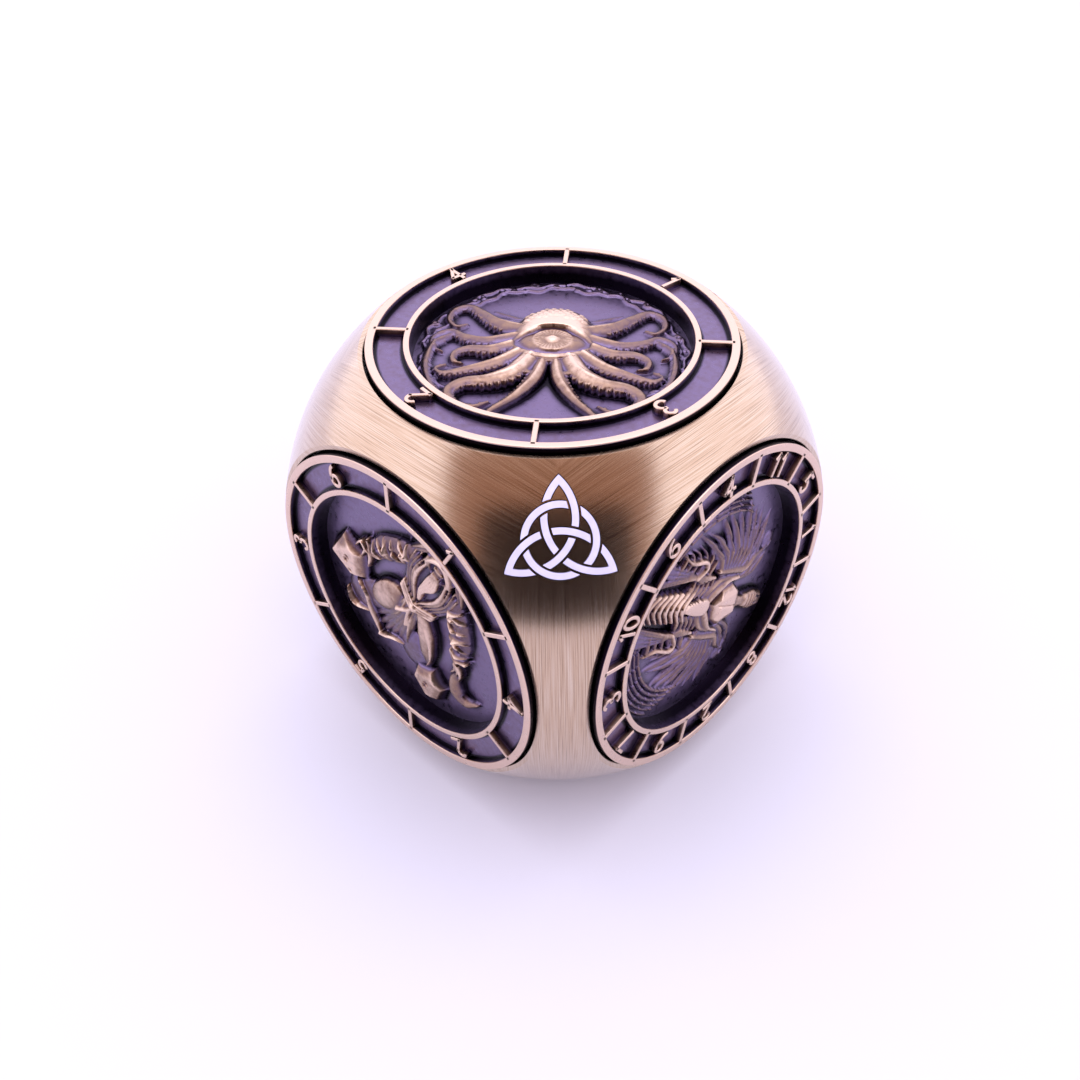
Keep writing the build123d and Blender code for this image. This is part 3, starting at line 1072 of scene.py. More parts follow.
def octopus(sheet):
    arms = (  # points, widths, base level, which edge has suckers
        ([(6.6, 1.6), (8.1, 0.2), (8.3, -2.2), (7.6, -4.5), (6.4, -6.1)],
         [0.30, 0.36, 0.36, 0.30, 0.12], 0.0, -1),
        ([(2.2, 1.9), (4.0, 2.8), (5.3, 4.1), (6.3, 5.0), (7.3, 4.6), (7.6, 3.4), (6.9, 2.5),
          (6.2, 2.9)], [0.95, 0.80, 0.64, 0.52, 0.42, 0.34, 0.24, 0.10], 0.10, -1),
        ([(2.6, 1.0), (4.6, 0.5), (6.1, 1.0), (7.2, 1.7), (8.2, 1.0), (8.2, -0.2), (7.4, -0.7)],
         [0.85, 0.68, 0.52, 0.44, 0.38, 0.28, 0.10], 0.10, -1),
        ([(2.6, 0.0), (4.2, -0.6), (5.6, -0.5), (6.5, -1.0), (6.5, -1.9), (5.8, -2.1)],
         [0.80, 0.64, 0.52, 0.42, 0.28, 0.10], 0.18, -1),
        ([(2.0, -0.9), (3.6, -2.3), (5.4, -3.1), (6.9, -3.5), (7.5, -2.9), (6.9, -2.3)],
         [0.90, 0.78, 0.64, 0.46, 0.30, 0.10], 0.22, -1),
        ([(1.3, -1.6), (2.2, -3.3), (3.7, -4.3), (5.3, -4.6), (6.2, -5.5), (5.8, -6.7),
          (4.5, -7.1), (3.5, -6.4)], [0.95, 0.98, 0.86, 0.70, 0.56, 0.42, 0.28, 0.10], 0.28, -1),
        ([(0.45, -1.9), (0.95, -4.1), (2.0, -6.0), (3.2, -7.4), (3.3, -8.2), (2.2, -8.9)],
         [0.62, 0.62, 0.50, 0.32, 0.22, 0.12], 0.30, 1),
    )
    # A lacy edge of shells and weed
    for reach, waves, drift in ((8.45, 13, 0.0), (8.95, 9, 1.0)):
        lace = []
        for k in range(132):
            angle = radians(-40 + 2 * k)
            out = reach + 0.22 * sin(waves * angle + drift) + 0.12 * sin(31 * angle)
            lace.append((out * cos(angle), out * sin(angle)))
        sheet.rope(lace, (0.13,), (0.15,), (0.02,))
    for k in range(52):
        angle = radians(-42 + 5.2 * k)
        out = 8.7 + 0.30 * sin(2.3 * k)
        x, y = out * cos(angle), out * sin(angle)
        size = 0.24 + 0.10 * sin(4.1 * k)
        lean = 5.2 * k + 50 * sin(3 * k)
        sheet.dome(x, y, 1.5 * size, size, 0.17 + 0.07 * cos(2.9 * k), turn=lean)
        sheet.swell(x, y, 0.6 * size, 0.4 * size, -0.12, turn=5.2 * k)
    for side in (-1, 1):
        # Three spines behind the head
        for tip in ((4.5, 4.9), (4.9, 4.1), (4.3, 3.4)):
            middle = (side * (1.4 + tip[0]) / 2, (3.3 + tip[1]) / 2 - 0.25)
            line = [(side * 1.6, 3.0), middle, (side * tip[0], tip[1])]
            sheet.rope(line, [0.34, 0.24, 0.06], [0.42, 0.32, 0.12])
        for points, widths, base, edge in arms:
            line = [(side * x, y) for x, y in points]
            widths = [ARM_FULLNESS * w for w in widths]
            fall = np.linspace(1, 0.3, 5)
            sheet.rope(line, widths, [0.20 + 0.66 * w for w in widths], base * fall)
            suckers(sheet, line, widths, side * edge)
            # A crease along the top of the arm
            inner = [(side * (x - 0.10), y + 0.16) for x, y in points[:4]]
            sheet.welt(inner, (0.14, 0.12, 0.05), (0.09, 0.07, 0.0))
    sheet.dome(0, 1.45, 2.85, 3.45, 0.90, base=0.34)
    for row in range(7):
        for k in range(-5, 6):
            x, y = 0.50 * (k + 0.5 * (row % 2)), 2.55 + 0.33 * row
            if (x / 2.5) ** 2 + ((y - 1.35) / 3.15) ** 2 < 1 and y > 2.9 - 0.13 * x**2:
                sheet.swell(x, y, 0.27, 0.22, 0.13)
                sheet.swell(x, y - 0.07, 0.12, 0.09, -0.07)
    sheet.sink(0, 0.15, 2.75, 1.75, 0.62)
    sheet.dome(0, 0.25, 2.35, 1.42, 0.40, base=0.55)
    sheet.dome(0, 0.35, 1.42, 1.30, 0.14, base=0.84, blunt=0.3)
    for k in range(30):
        angle = radians(12 * k)
        ray = [(r * cos(angle), 0.35 + 0.92 * r * sin(angle)) for r in (0.55, 0.85, 1.2)]
        sheet.score(ray, 0.055, 0.09)
    sheet.dome(0, 0.35, 0.36, 0.36, 0.14, base=0.96)
    for lift, half, rise, thick in ((0.0, 2.95, 2.35, 0.36), (0.28, 2.6, 2.75, 0.26)):
        lid = [
            (-half, lift - 0.1),
            (-0.55 * half, 1.55 + lift),
            (0, rise),
            (0.55 * half, 1.55 + lift),
            (half, lift - 0.1),
        ]
        sheet.rope(lid, (0.12, thick, thick, thick, 0.12), (0.34,), (0.30, 0.72, 0.86, 0.72, 0.30))
    lid = [(-2.6, -0.35), (-1.5, -1.30), (0, -1.75), (1.5, -1.30), (2.6, -0.35)]
    sheet.rope(lid, (0.12, 0.40, 0.50, 0.40, 0.12), (0.42,), (0.34, 0.52, 0.58, 0.52, 0.34))
    sheet.score([(-1.6, -1.66), (0, -2.02), (1.6, -1.66)], 0.07, 0.12)


# %% The winged guardian
def guardian(sheet):
    for side in (-1, 1):
        # Bands of a cloak round the lower edge, tied here and there
        for k in range(6):
            out = 7.1 + 0.40 * k
            angles = [radians(a) for a in range(168 + 4 * k, 262, 6)]
            band = [(side * out * cos(a), out * sin(a)) for a in angles]
            sheet.rope(band, (0.06, 0.16, 0.15, 0.05), (0.16,), (0.16 - 0.02 * k,), blunt=0.3)
        for k in range(8):
            angle = radians(176 + 11 * k)
            sheet.score(
                [(side * r * cos(angle), r * sin(angle)) for r in (7.0, 8.0, 9.2)], 0.10, 0.16
            )
        # Two rows of ragged feathers
        for count, tip, first, last, width, base in (
            (12, 6.5, 62, -56, 0.34, 0.05),
            (10, 4.9, 54, -50, 0.30, 0.26),
        ):
            for k in range(count):
                angle = first + (last - first) * k / (count - 1)
                reach = tip + 0.45 * sin(2.4 * k)
                aim, bend = radians(angle + 5 * sin(3.1 * k)), radians(angle + 13)
                line = [
                    (side * (1.2 + 0.25 * tip * cos(bend)), 0.9 + 0.25 * tip * sin(bend)),
                    (side * (1.2 + 0.62 * tip * cos(bend)), 0.9 + 0.62 * tip * sin(bend)),
                    (side * (1.2 + reach * cos(aim)), 0.9 + reach * sin(aim)),
                ]
                sheet.rope(line, (0.24, width, 0.05), (0.34, 0.40, 0.10), (base,))
                sheet.score(line[1:], 0.05, 0.12)
        # Hooked barbs under the wings
        for k in range(6):
            y = -1.7 - 0.85 * k
            line = [(side * 2.2, y), (side * 3.7, y + 0.55), (side * (4.9 - 0.25 * k), y - 0.35)]
            sheet.rope(line, (0.22, 0.22, 0.05), (0.34, 0.34, 0.1), (0.22, 0.16, 0.0))
        # Curls above the wings
        for reach, height in ((0.95, 0.22), (0.50, 0.34)):
            sheet.dome(side * 4.5, 5.9, reach, 0.8 * reach, height)
        sheet.swell(side * 4.5, 5.9, 0.26, 0.22, -0.2)
        # A horn that rises from each shoulder
        horn = [
            (side * 2.55, -0.4),
            (side * 2.65, 1.2),
            (side * 2.75, 2.9),
            (side * 3.5, 3.8),
            (side * 4.1, 5.1),
        ]
        sheet.rope(
            horn,
            (0.22, 0.32, 0.36, 0.32, 0.12),
            (0.40, 0.42, 0.42, 0.36, 0.2),
            (0.30, 0.36, 0.36, 0.2),
        )
        # Greaves: bent plates beside the robe
        greave = [
            (side * 2.1, -3.4),
            (side * 2.9, -2.7),
            (side * 3.4, -3.1),
            (side * 3.3, -4.6),
            (side * 3.8, -5.8),
        ]
        sheet.rope(greave, (0.12, 0.24, 0.24, 0.20, 0.06), (0.4,), (0.4, 0.4, 0.3, 0.1))
        for k in range(4):
            # The robe's long outer folds
            line = [
                (side * (2.15 - 0.1 * k), -0.9 - 0.5 * k),
                (side * (2.15 + 0.12 * k), -4.4),
                (side * (1.35 + 0.55 * k), -9.0 + 0.12 * k * k),
            ]
            sheet.rope(line, (0.20, 0.30, 0.24), (0.30, 0.34, 0.24), (0.40, 0.30 - 0.05 * k, 0.04))
            sheet.score(line[1:], 0.06, 0.10)
        for k in range(5):
            # Lames beside the middle plate
            y = -1.0 - 0.62 * k
            line = [(side * 0.7, y - 0.5), (side * 1.25, y + 0.15), (side * 1.9, y + 0.35)]
            sheet.rope(line, (0.15, 0.24, 0.16), (0.24,), (0.46, 0.42, 0.30))
    # Breastplate, collars below it, and the long middle plate
    for drop, width, base in ((1.15, 0.30, 0.40), (0.0, 0.46, 0.52)):
        collar = [(-2.15, 2.4 - drop), (-1.65, 0.95 - drop), (0, -0.75 - 0.6 * drop),
                  (1.65, 0.95 - drop), (2.15, 2.4 - drop)]
        sheet.rope(collar, (0.16, width, width, width, 0.16), (0.34,), (base,), blunt=0.7)
    sheet.sink(0, 1.95, 1.95, 1.75, 0.36)
    sheet.gem(0, 2.0, 1.95, 0.72, 0.40, 8, 22.5, 4)
    sheet.score([(0, 3.5), (0, 2.2), (0, 0.9)], 0.07, 0.14)
    sheet.rope([(0, -1.25), (0, -2.2), (0, -3.3)], (0.66, 0.60, 0.40), (0.30,), (0.74,), blunt=0.15)
    for k in range(8):
        y = -3.9 - 0.68 * k
        reach = 1.15 - 0.02 * k
        line = [(-reach, y + 0.95), (0, y), (reach, y + 0.95)]
        sheet.rope(
            line, (0.10, 0.27, 0.10), (0.34,), (0.44 - 0.02 * k, 0.64 - 0.05 * k, 0.44 - 0.02 * k)
        )
    # A tall helm over a narrow gorget, its face only a dark slot
    sheet.rope([(0, 3.6), (0, 4.6), (0, 5.6)], (0.62, 0.44, 0.56), (0.34,), (0.40,))
    helm = [(0, 5.3), (0, 6.2), (0, 7.1), (0, 8.5)]
    sheet.rope(helm, (0.62, 0.84, 0.72, 0.06), (0.46, 0.46, 0.42, 0.1), (0.38, 0.34, 0.26, 0.1))
    for y in (5.5, 5.95, 6.4):
        sheet.score([(-0.45, y + 0.14), (0, y), (0.45, y + 0.14)], 0.09, 0.16)
    for side in (-1, 1):
        sheet.score([(side * 0.16, 6.7), (side * 0.30, 7.1), (side * 0.10, 7.8)], 0.07, 0.14)


# %% The sage
def sage(sheet):
    # Skirt of the robe: soft folds that close to a point between the knees
    sheet.dome(-3.5, -4.3, 1.75, 1.65, 0.34, base=0.16, turn=20)
    sheet.dome(-2.9, -2.9, 1.3, 1.6, 0.30, base=0.30, turn=-20)
    sheet.dome(1.9, -3.3, 1.5, 1.9, 0.30, base=0.22, turn=20)
    for k in range(-3, 4):
        line = [(0.20 * k, 1.6), (0.34 * k - 0.2, -1.6), (0.62 * k - 0.6, -5.0 + 0.16 * k * k)]
        sheet.rope(line, (0.22, 0.34, 0.30), (0.34, 0.36, 0.24), (0.44, 0.34, 0.14))
    # Knees under the cloth, and the creases that run from them
    sheet.dome(-1.95, -0.9, 1.25, 2.15, 0.50, base=0.44, turn=-16)
    sheet.rope([(0.9, 1.5), (2.1, -0.2), (2.9, -1.8), (3.5, -3.2)], (0.5, 0.78, 0.72, 0.3),
               (0.44, 0.48, 0.44, 0.2), (0.44, 0.44, 0.36, 0.16))
    for line, widths in (
        ([(0.9, 1.6), (2.5, 0.1), (3.4, -1.7), (3.5, -3.2)], (0.10, 0.15, 0.15, 0.06)),
        ([(-0.6, 1.4), (-0.5, -0.6), (-0.9, -2.4)], (0.10, 0.15, 0.06)),
        ([(0.3, 1.4), (0.7, -0.9), (1.3, -3.2)], (0.10, 0.15, 0.06)),
        ([(-4.6, -3.0), (-3.2, -3.3), (-2.4, -4.3), (-0.7, -5.8)], (0.05, 0.12, 0.15, 0.13)),
        ([(-0.7, -5.8), (0.3, -4.5), (1.2, -3.9)], (0.13, 0.15, 0.06)),
        ([(-4.9, -5.3), (-3.6, -5.9), (-2.4, -5.2)], (0.05, 0.12, 0.05)),
    ):
        sheet.rope(line, widths, (0.26,), (0.56, 0.66, 0.56, 0.40))
    # Chest, then lapels that cross down to the belt
    sheet.dome(0, 4.6, 2.2, 3.1, 0.26, base=0.30, blunt=0.35)
    for side in (-1, 1):
        # Sleeve: a bent arm under heavy cloth, its creases drawn across it
        sleeve = [(side * 1.9, 6.0), (side * 3.1, 4.5), (side * 4.1, 2.9), (side * 4.7, 1.3)]
        sheet.rope(
            sleeve, (0.85, 1.05, 1.05, 0.62), (0.42, 0.46, 0.44, 0.34), (0.26, 0.22, 0.16, 0.14)
        )
        for k in range(9):
            along_arm = k / 8
            x, y = side * (2.2 + 2.5 * along_arm), 5.7 - 4.2 * along_arm
            lift = 0.30 * sin(2.2 * k)
            crease = [(x - side * 0.85, y - 0.30 + lift), (x + side * 0.1, y - 0.42 * cos(1.7 * k)),
                      (x + side * 0.90, y + 0.55 - lift)]
            sheet.welt(crease, (0.06, 0.15, 0.07), (0.08, 0.32, 0.12))
        for k in range(4):
            groove = [
                (side * (1.9 + 0.55 * k), 5.2 - 0.95 * k), (side * (3.3 + 0.4 * k), 5.0 - 0.95 * k)
            ]
            sheet.score(groove, 0.13, 0.22)
        cuff = [(side * 3.9, 1.7), (side * 4.6, 1.25), (side * 5.5, 1.9)]
        sheet.rope(cuff, (0.10, 0.20, 0.10), (0.28,), (0.42,))
        for k in range(4):
            fold = [(side * (0.8 + 0.45 * k), 8.3 - 0.5 * k), (side * (1.15 + 0.30 * k), 5.0),
                    (side * (0.12 + 0.34 * k), 2.3 + 0.10 * k)]
            width = 0.24 if k == 0 else 0.15
            sheet.rope(fold, (0.08, width, 0.10), (0.28,), (0.52, 0.64 - 0.07 * k, 0.56 - 0.05 * k))
        # Hood's cloth falling to the shoulder
        drape = [(side * 0.9, 9.0), (side * 1.7, 7.9), (side * 2.5, 6.4)]
        sheet.rope(drape, (0.36, 0.42, 0.22), (0.34,), (0.36, 0.36, 0.24))
        sheet.score(drape, 0.08, 0.14)
    # Belt of twisted cords, knotted, with two hanging ends
    for y, width in ((1.75, 0.16), (2.10, 0.18), (2.45, 0.16)):
        sheet.rope(
            [(-1.6, y + 0.50), (0, y - 0.20), (1.6, y + 0.50)],
            (width,),
            (0.24,),
            (0.56, 0.78, 0.56),
        )
    sheet.dome(0.15, 1.75, 0.42, 0.36, 0.34, base=0.80)
    for end in ((-0.75, -0.4), (0.45, -0.8)):
        sheet.rope([(0.1, 1.5), (0.25 * end[0], 0.5), end], (0.12, 0.15, 0.17), (0.24,), (0.80,))
    # Hood over a shadowed face, and a beard in two locks
    sheet.dome(0, 7.75, 1.35, 1.55, 0.62, base=0.34)
    sheet.sink(0, 7.35, 0.80, 0.95, 0.50)
    hood = [(-0.95, 6.5), (-1.05, 7.6), (0, 8.75), (1.05, 7.6), (0.95, 6.5)]
    sheet.rope(hood, (0.10, 0.18, 0.20, 0.18, 0.10), (0.24,), (0.50, 0.74, 0.84, 0.74, 0.50))
    sheet.dome(0, 7.35, 0.50, 0.72, 0.24, base=0.50)
    sheet.rope([(-0.42, 7.62), (0, 7.52), (0.42, 7.62)], (0.09,), (0.14,), (0.70,))
    for k in range(-2, 3):
        lock = [
            (0.14 * k, 6.9), (0.22 * k + 0.12, 5.7), (0.10 * k - 0.12, 4.6), (0.06 * k + 0.05, 3.2)
        ]
        sheet.rope(lock, (0.12, 0.15, 0.13, 0.05), (0.26,), (0.60, 0.78, 0.82, 0.70))
    # One hand sets down a die; the other holds a crescent
    for k in range(3):
        finger = [
            (-4.7 - 0.25 * k, 1.0),
            (-4.5 - 0.65 * k, 0.55 + 0.3 * k),
            (-4.3 - 0.85 * k, -0.5 + 0.25 * k),
        ]
        sheet.rope(finger, (0.20, 0.17, 0.09), (0.34,), (0.44, 0.42, 0.34))
        finger = [(4.8 + 0.15 * k, 1.0), (5.1 + 0.3 * k, 0.4), (5.0 + 0.45 * k, -0.5)]
        sheet.rope(finger, (0.20, 0.17, 0.09), (0.34,), (0.44, 0.40, 0.30))
    crescent = [(5.4, 0.3), (5.6, -1.0), (6.3, -2.0), (7.3, -2.0), (8.1, -1.0)]
    sheet.rope(crescent, (0.10, 0.50, 0.72, 0.48, 0.06), (0.3, 0.46, 0.52, 0.4, 0.1), (0.22,))
    sheet.gem(4.4, -4.6, 1.80, 0.74, 0.14, 6, 10, 3)
    sheet.gem(-5.9, -1.9, 2.0, 0.80, 0.16, 5, 28, 3)
    for x, y in ((4.4, -4.45), (4.4, -4.85), (-5.95, -1.65), (-5.95, -2.05), (-5.2, -2.6)):
        sheet.swell(x, y, 0.24, 0.19, -0.24)


# %% The serpent, the tree and the bird
def serpent(sheet):
    spots = []
    for k in range(37):
        out = 7.7 - 0.148 * k
        angle = radians(200 + 25 * k)
        spots.append((out * cos(angle), out * sin(angle)))
    widths = (0.12, 0.45, 0.75, 0.90, 0.98, 1.02, 1.0, 0.85)
    sheet.rope(spots, widths, [0.75 * w for w in widths], (0.02, 0.05, 0.1, 0.15))
    path = smooth_line(spots)
    spread = along(widths, len(path))
    ahead = np.gradient(path, axis=0)
    ahead /= np.linalg.norm(ahead, axis=1)[:, None]
    for index in range(20, len(path) - 10, 8):
        for row in (-0.66, -0.33, 0.0, 0.33, 0.66):
            shift = 4 if round(row * 3) % 2 else 0
            at = path[min(index + shift, len(path) - 1)]
            x = at[0] - ahead[index, 1] * row * spread[index]
            y = at[1] + ahead[index, 0] * row * spread[index]
            sheet.swell(x, y, 0.17, 0.17, 0.09)
    head_x, head_y = spots[-1]
    sheet.rope(
        [spots[-2], (head_x, head_y), (0.2, 0.4), (0.6, 1.2)],
        (0.85, 0.95, 1.15, 0.55),
        (0.62,),
        (0.36,),
    )
    for side in (-1, 1):
        sheet.dome(0.35 + side * 0.55, 0.75 - side * 0.25, 0.22, 0.22, 0.2, base=0.86)
        sheet.rope(
            [(0.6, 1.5), (0.75, 2.2), (0.85 + side * 0.3, 2.7)], (0.10, 0.08, 0.05), (0.2,), (0.25,)
        )
    for k in range(48):
        angle = radians(7.5 * k)
        sheet.dome(8.95 * cos(angle), 8.95 * sin(angle), 0.30, 0.30, 0.22)


def tree(sheet):
    def branch(x, y, angle, length, width, level):
        """One limb, its leaves, and the smaller limbs that leave its end."""
        end_x, end_y = x + length * cos(radians(angle)), y + length * sin(radians(angle))
        lean = radians(angle + 90)
        bow = 0.12 * length * (-1) ** level
        middle = ((x + end_x) / 2 + bow * cos(lean), (y + end_y) / 2 + bow * sin(lean))
        base = 0.34 - 0.05 * level
        sheet.rope(
            [(x, y), middle, (end_x, end_y)], (width, 0.72 * width), (0.8 * width + 0.08,), (base,)
        )
        if level == 5:
            for turn in (-50, 0, 50):
                leaf = radians(angle + turn)
                spot = (end_x + 0.32 * cos(leaf), end_y + 0.32 * sin(leaf))
                sheet.dome(*spot, 0.30, 0.16, 0.26, base=0.16, turn=angle + turn)
            return
        for turn, share in ((-31, 0.80), (4, 0.66), (33, 0.78)):
            if level < 3 or turn:
                branch(
                    end_x,
                    end_y,
                    angle + turn + 5 * level * (-1) ** level,
                    length * share,
                    width * 0.66,
                    level + 1,
                )

    for side in (-1, 1):
        for k in range(4):
            line = [
                (side * 0.3, -5.4),
                (side * (1.0 + 0.8 * k), -6.4 - 0.1 * k),
                (side * (1.6 + 1.35 * k), -8.3 + 0.5 * k),
            ]
            sheet.rope(line, (0.50, 0.32, 0.08), (0.5, 0.34, 0.1), (0.2, 0.1, 0.0))
    sheet.rope([(0.1, -6.0), (-0.2, -4.2), (0, -2.4)], (0.95, 0.72, 0.66), (0.7,), (0.26,))
    for k in range(-3, 4):
        sheet.score([(0.24 * k, -6.2), (0.18 * k - 0.15, -4.2), (0.15 * k, -2.4)], 0.06, 0.12)
    for angle in (38, 66, 90, 114, 142):
        branch(0, -2.5, angle, 2.75, 0.46, 1)
    for k in range(60):
        angle = radians(6 * k)
        sheet.dome(9.0 * cos(angle), 9.0 * sin(angle), 0.34, 0.18, 0.24, turn=6 * k + 55)


def bird(sheet):
    for side in (-1, 1):
        rows = (
            (13, 8.3, 62, -34, 0.42, 0.36, 0.02),
            (11, 6.4, 58, -26, 0.38, 0.36, 0.20),
            (9, 4.7, 52, -16, 0.34, 0.34, 0.38),
        )
        for count, tip, first, last, width, height, base in rows:
            for k in range(count):
                angle = first + (last - first) * k / (count - 1)
                aim, bend = radians(angle), radians(angle + 10)
                line = [
                    (side * 0.9, 1.2),
                    (side * (0.6 + 0.6 * tip * cos(bend)), 0.9 + 0.6 * tip * sin(bend)),
                    (side * (0.4 + tip * cos(aim)), 0.4 + tip * sin(aim)),
                ]
                sheet.rope(line, (0.18, width, width, 0.10), (0.2, height, height, 0.16), (base,))
                sheet.score(line[1:], 0.05, 0.10)
        shoulder = [(side * 0.7, 2.3), (side * 2.2, 3.3), (side * 4.0, 5.0), (side * 4.5, 7.0)]
        sheet.rope(shoulder, (0.75, 0.62, 0.46, 0.16), (0.46,), (0.5, 0.42, 0.24, 0.05))
        claw = [(side * 0.8, -2.6), (side * 1.5, -3.9), (side * 1.1, -4.9)]
        sheet.rope(claw, (0.44, 0.26, 0.16), (0.4,), (0.36,))
        for k in range(3):
            sheet.rope([claw[-1], (side * (0.5 + 0.7 * k), -5.5)], (0.14, 0.05), (0.24,), (0.34,))
    for k in range(-4, 5):
        line = [(0.12 * k, -2.6), (0.42 * k, -5.4), (0.62 * k, -8.2 + 0.07 * k * k)]
        sheet.rope(line, (0.24, 0.42, 0.30), (0.34,), (0.24, 0.16, 0.04))
        sheet.score(line[1:], 0.05, 0.10)
    sheet.dome(0, 0.3, 1.35, 3.3, 0.66, base=0.36)
    for row in range(12):
        for k in range(-3, 4):
            x, y = 0.38 * (k + 0.5 * (row % 2)), 2.4 - 0.42 * row
            if (x / 1.25) ** 2 + ((y - 0.3) / 3.1) ** 2 < 1:
                sheet.swell(x, y, 0.19, 0.26, 0.12)
    sheet.rope([(0, 2.8), (0.1, 3.8), (0.35, 4.5)], (0.78, 0.66, 0.62), (0.52,), (0.5,))
    sheet.rope([(0.6, 4.6), (1.25, 4.55), (1.45, 4.1)], (0.36, 0.24, 0.06), (0.34,), (0.46,))
    sheet.dome(0.45, 4.7, 0.14, 0.14, 0.16, base=1.0)
    for k in range(36):
        angle = radians(10 * k)
        ends = ((8.6, angle), (9.2, angle + 0.1))
        sheet.rope([(r * cos(a), r * sin(a)) for r, a in ends], (0.16, 0.1), (0.2,))


pictures = {"d4": octopus, "d6": sage, "d12": guardian, "d8": serpent, "d10": tree, "d20": bird}

# %% [markdown]
# ## From heights to metal
# A fine grid takes the heights. Its rim is trimmed to a circle, drawn down and closed, so the
# relief is a solid slab set into the recess. What stands above its surroundings is rubbed
# bright and what sinks below them is darkened as painted shade, so the same heights, less a
# blurred copy, tell the finish where to shine and where to shade.

# %% Press the reliefs
RELIEF_SLAB = 0.3  # thickness under the picture's lowest ground
RELIEF_TOP = 1.16  # no higher than this over the ground, to stay under the rim
RELIEF_PIT = 0.1  # no deeper than this under it
TOOL_SOFTNESS = 0.035  # how far a stroke's edges are softened
CREST_REACH = 0.30  # how far round a spot its height is compared
GROUND_RUB = 0.24  # the rub of the flat ground
# Painted shade: in hollows this term takes the value below the ground's.
CREST_RUB_AND_SHADE = 1.1  # and what each millimetre over its surroundings adds


def pressed(key):
    """Draws one picture and makes it a slab of metal."""
    sheet = Sheet()
    pictures[key](sheet)
    sheet.height = np.clip(sheet.height, -RELIEF_PIT, None)
    sheet.height = sheet.blurred(TOOL_SOFTNESS)
    sheet.height = sheet.height * min(1, RELIEF_TOP / sheet.height.max())
    # Height over the surroundings rubs bright; hollows under them go darker than the ground as
    # painted shade.
    crest = sheet.height - sheet.blurred(CREST_REACH)
    raised = np.maximum(sheet.height, 0) / RELIEF_TOP
    rub_and_shade = GROUND_RUB + (1 - GROUND_RUB) * raised**3 + CREST_RUB_AND_SHADE * crest
    bpy.ops.mesh.primitive_grid_add(
        x_subdivisions=RELIEF_CELLS, y_subdivisions=RELIEF_CELLS, size=2 * RELIEF_RADIUS
    )
    obj = named("dial_relief_" + key)
    points = corners(obj)
    points[:, 2] = sheet.height.ravel() + RELIEF_SLAB
    set_corners(obj, points)
    paint(obj, np.clip(rub_and_shade, 0, 1).ravel())
    outside = np.hypot(points[:, 0], points[:, 1]) > RELIEF_RADIUS
    bpy.ops.object.mode_set(mode="EDIT")
    bpy.ops.mesh.select_all(action="DESELECT")
    bpy.ops.object.mode_set(mode="OBJECT")
    obj.data.vertices.foreach_set("select", outside)
    bpy.ops.object.mode_set(mode="EDIT")
    bpy.ops.mesh.delete(type="VERT")
    bpy.ops.mesh.select_all(action="SELECT")
    bpy.ops.mesh.region_to_loop()
    bpy.ops.mesh.extrude_region_move()
    bpy.ops.transform.resize(value=(1, 1, 0), center_override=(0, 0, 0))
    bpy.ops.mesh.edge_face_add()
    bpy.ops.object.mode_set(mode="OBJECT")
    bpy.ops.object.shade_smooth_by_angle(angle=radians(60))
    return obj


for key in dials:
    relief = pressed(key)
    finish_with(relief, cast_bronze_finish)
    lift = Matrix.Translation((0, 0, face_height - medal_depth - RELIEF_SLAB + 0.01))
    spin = Matrix.Rotation(radians(dials[key][3] - 90), 4, "Z")
    relief.data.transform(lift @ spin)
    place(relief, facing(key), "dial_" + key, "antique_bronze_dial", "dial_" + key)

# %% [markdown]
# ## Light, floor and camera
# The die stands on a plain pale floor in a white room with a broad light above. Polished metal
# shows its surroundings, so two dark boards stand on the camera's side, for the metal alone.


# %% Floor and light
def floor():
    bpy.ops.mesh.primitive_plane_add(size=4, location=(0, 0, 0))
    plane = named("floor")
    bpy.ops.object.mode_set(mode="EDIT")
    bpy.ops.transform.translate(value=(0, 0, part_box("dial_d20")[0].z))
    bpy.ops.object.mode_set(mode="OBJECT")
    material, _, shader, _ = new_material("pale_floor")
    shader.inputs["Base Color"].default_value = colour("#C8C6D0")
    shader.inputs["Roughness"].default_value = 0.6
    finish_with(plane, material)


def overhead_light(height, size, power):
    """A broad round lamp straight above, in metres and watts."""
    data = bpy.data.lights.new("overhead", "AREA")
    data.shape = "DISK"
    data.size = size
    data.energy = power
    lamp = bpy.data.objects.new("overhead", data)
    bpy.context.scene.collection.objects.link(lamp)
    lamp.location = (0, 0, height)


def white_room():
    world = bpy.data.worlds.new("white_room")
    bpy.context.scene.world = world
    world.use_nodes = True
    background = world.node_tree.nodes["Background"]
    background.inputs["Color"].default_value = colour("#F4EEFF")
    background.inputs["Strength"].default_value = 1.9


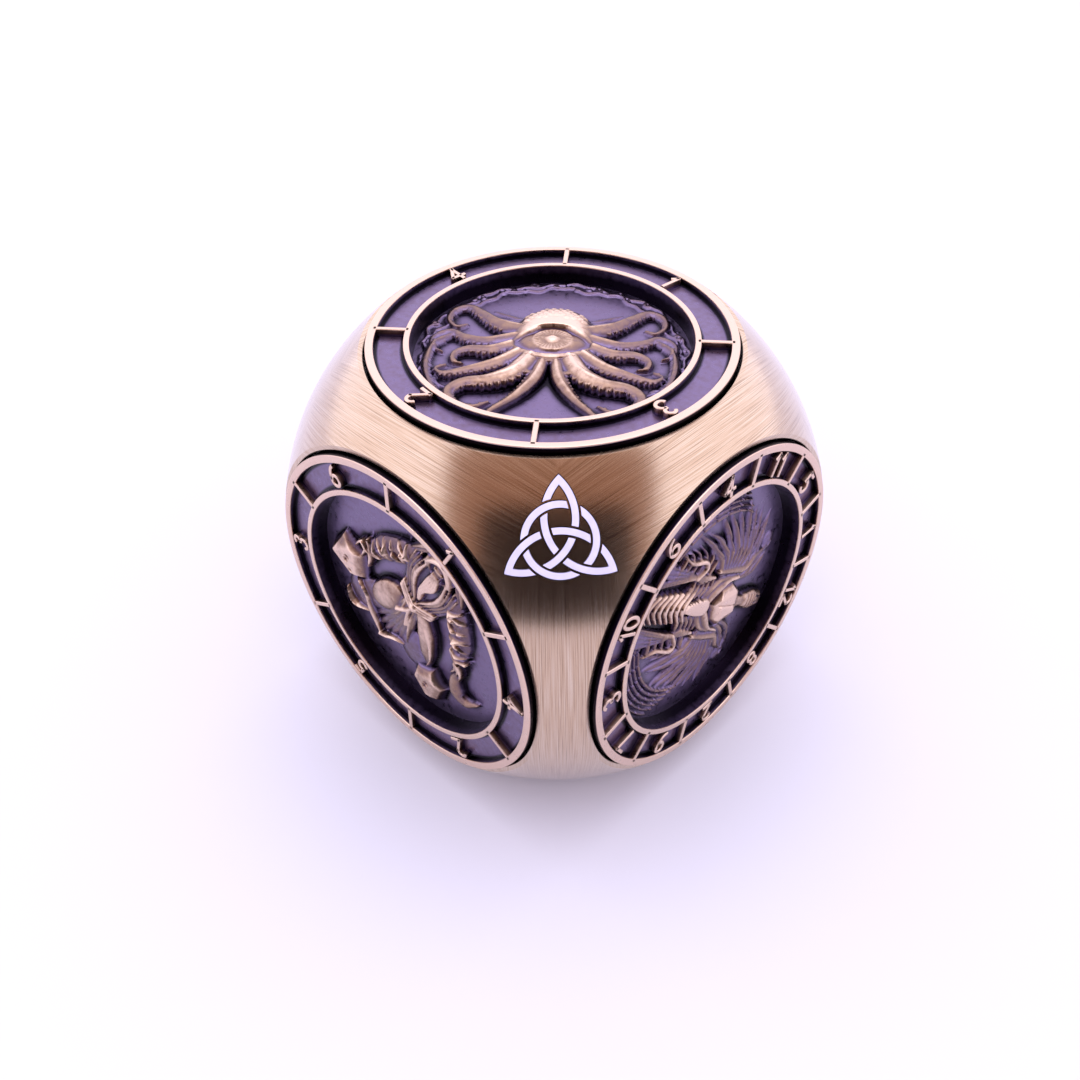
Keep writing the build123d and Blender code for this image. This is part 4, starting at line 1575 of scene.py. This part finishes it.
def card(name, azimuth, elevation, distance, wide, tall, code):
    """A board that only the metal sees: distance and size in millimetres, facing the die."""
    bpy.ops.mesh.primitive_plane_add(size=1)
    board = named(name)
    level = cos(radians(elevation))
    towards = Vector(
        (sin(radians(azimuth)) * level, -cos(radians(azimuth)) * level, sin(radians(elevation)))
    )
    turn = towards.to_track_quat("Z", "Y").to_matrix().to_4x4()
    size = Matrix.Diagonal((wide * METRE, tall * METRE, 1, 1))
    board.data.transform(Matrix.Translation(towards * distance * METRE) @ turn @ size)
    material, _, shader, _ = new_material(name + "_board")
    shader.inputs["Base Color"].default_value = colour(code)
    shader.inputs["Roughness"].default_value = 0.9
    finish_with(board, material)
    board.visible_camera = False
    board.visible_diffuse = False
    board.visible_shadow = False


floor()
white_room()
card("viewer", 44.5, 21, 84, 88, 66, "#180801")
card("shoulders", 42, 40, 120, 200, 140, "#A88468")
overhead_light(0.35, 0.35, 0.30)
bpy.context.scene.view_settings.view_transform = "Standard"
print("floor and light set")

# %% Camera
CAMERA_AZIMUTH = radians(44.71)  # round from the front, towards +X
CAMERA_ELEVATION = radians(41.59)
CAMERA_ROLL = radians(-1.28)
CAMERA_DISTANCE = 87.8  # millimetres
CAMERA_AIM = (-1.06, -2.15)  # millimetres right and up from the ball's centre
CAMERA_LENS = 38.6


def camera():
    data = bpy.data.cameras.new("camera")
    data.lens = CAMERA_LENS
    data.sensor_width = 36
    data.clip_start = 0.001
    data.clip_end = 20
    eye = bpy.data.objects.new("camera", data)
    bpy.context.scene.collection.objects.link(eye)
    level = cos(CAMERA_ELEVATION)
    back = Vector(
        (sin(CAMERA_AZIMUTH) * level, -cos(CAMERA_AZIMUTH) * level, sin(CAMERA_ELEVATION))
    )
    flat_right = Vector((cos(CAMERA_AZIMUTH), sin(CAMERA_AZIMUTH), 0))
    flat_up = back.cross(flat_right)
    right = flat_right * cos(CAMERA_ROLL) + flat_up * sin(CAMERA_ROLL)
    up = flat_up * cos(CAMERA_ROLL) - flat_right * sin(CAMERA_ROLL)
    turn = Matrix((right, up, back)).transposed().to_4x4()
    where = back * CAMERA_DISTANCE + right * CAMERA_AIM[0] + up * CAMERA_AIM[1]
    eye.matrix_world = Matrix.Translation(where * METRE) @ turn
    bpy.context.scene.camera = eye


camera()
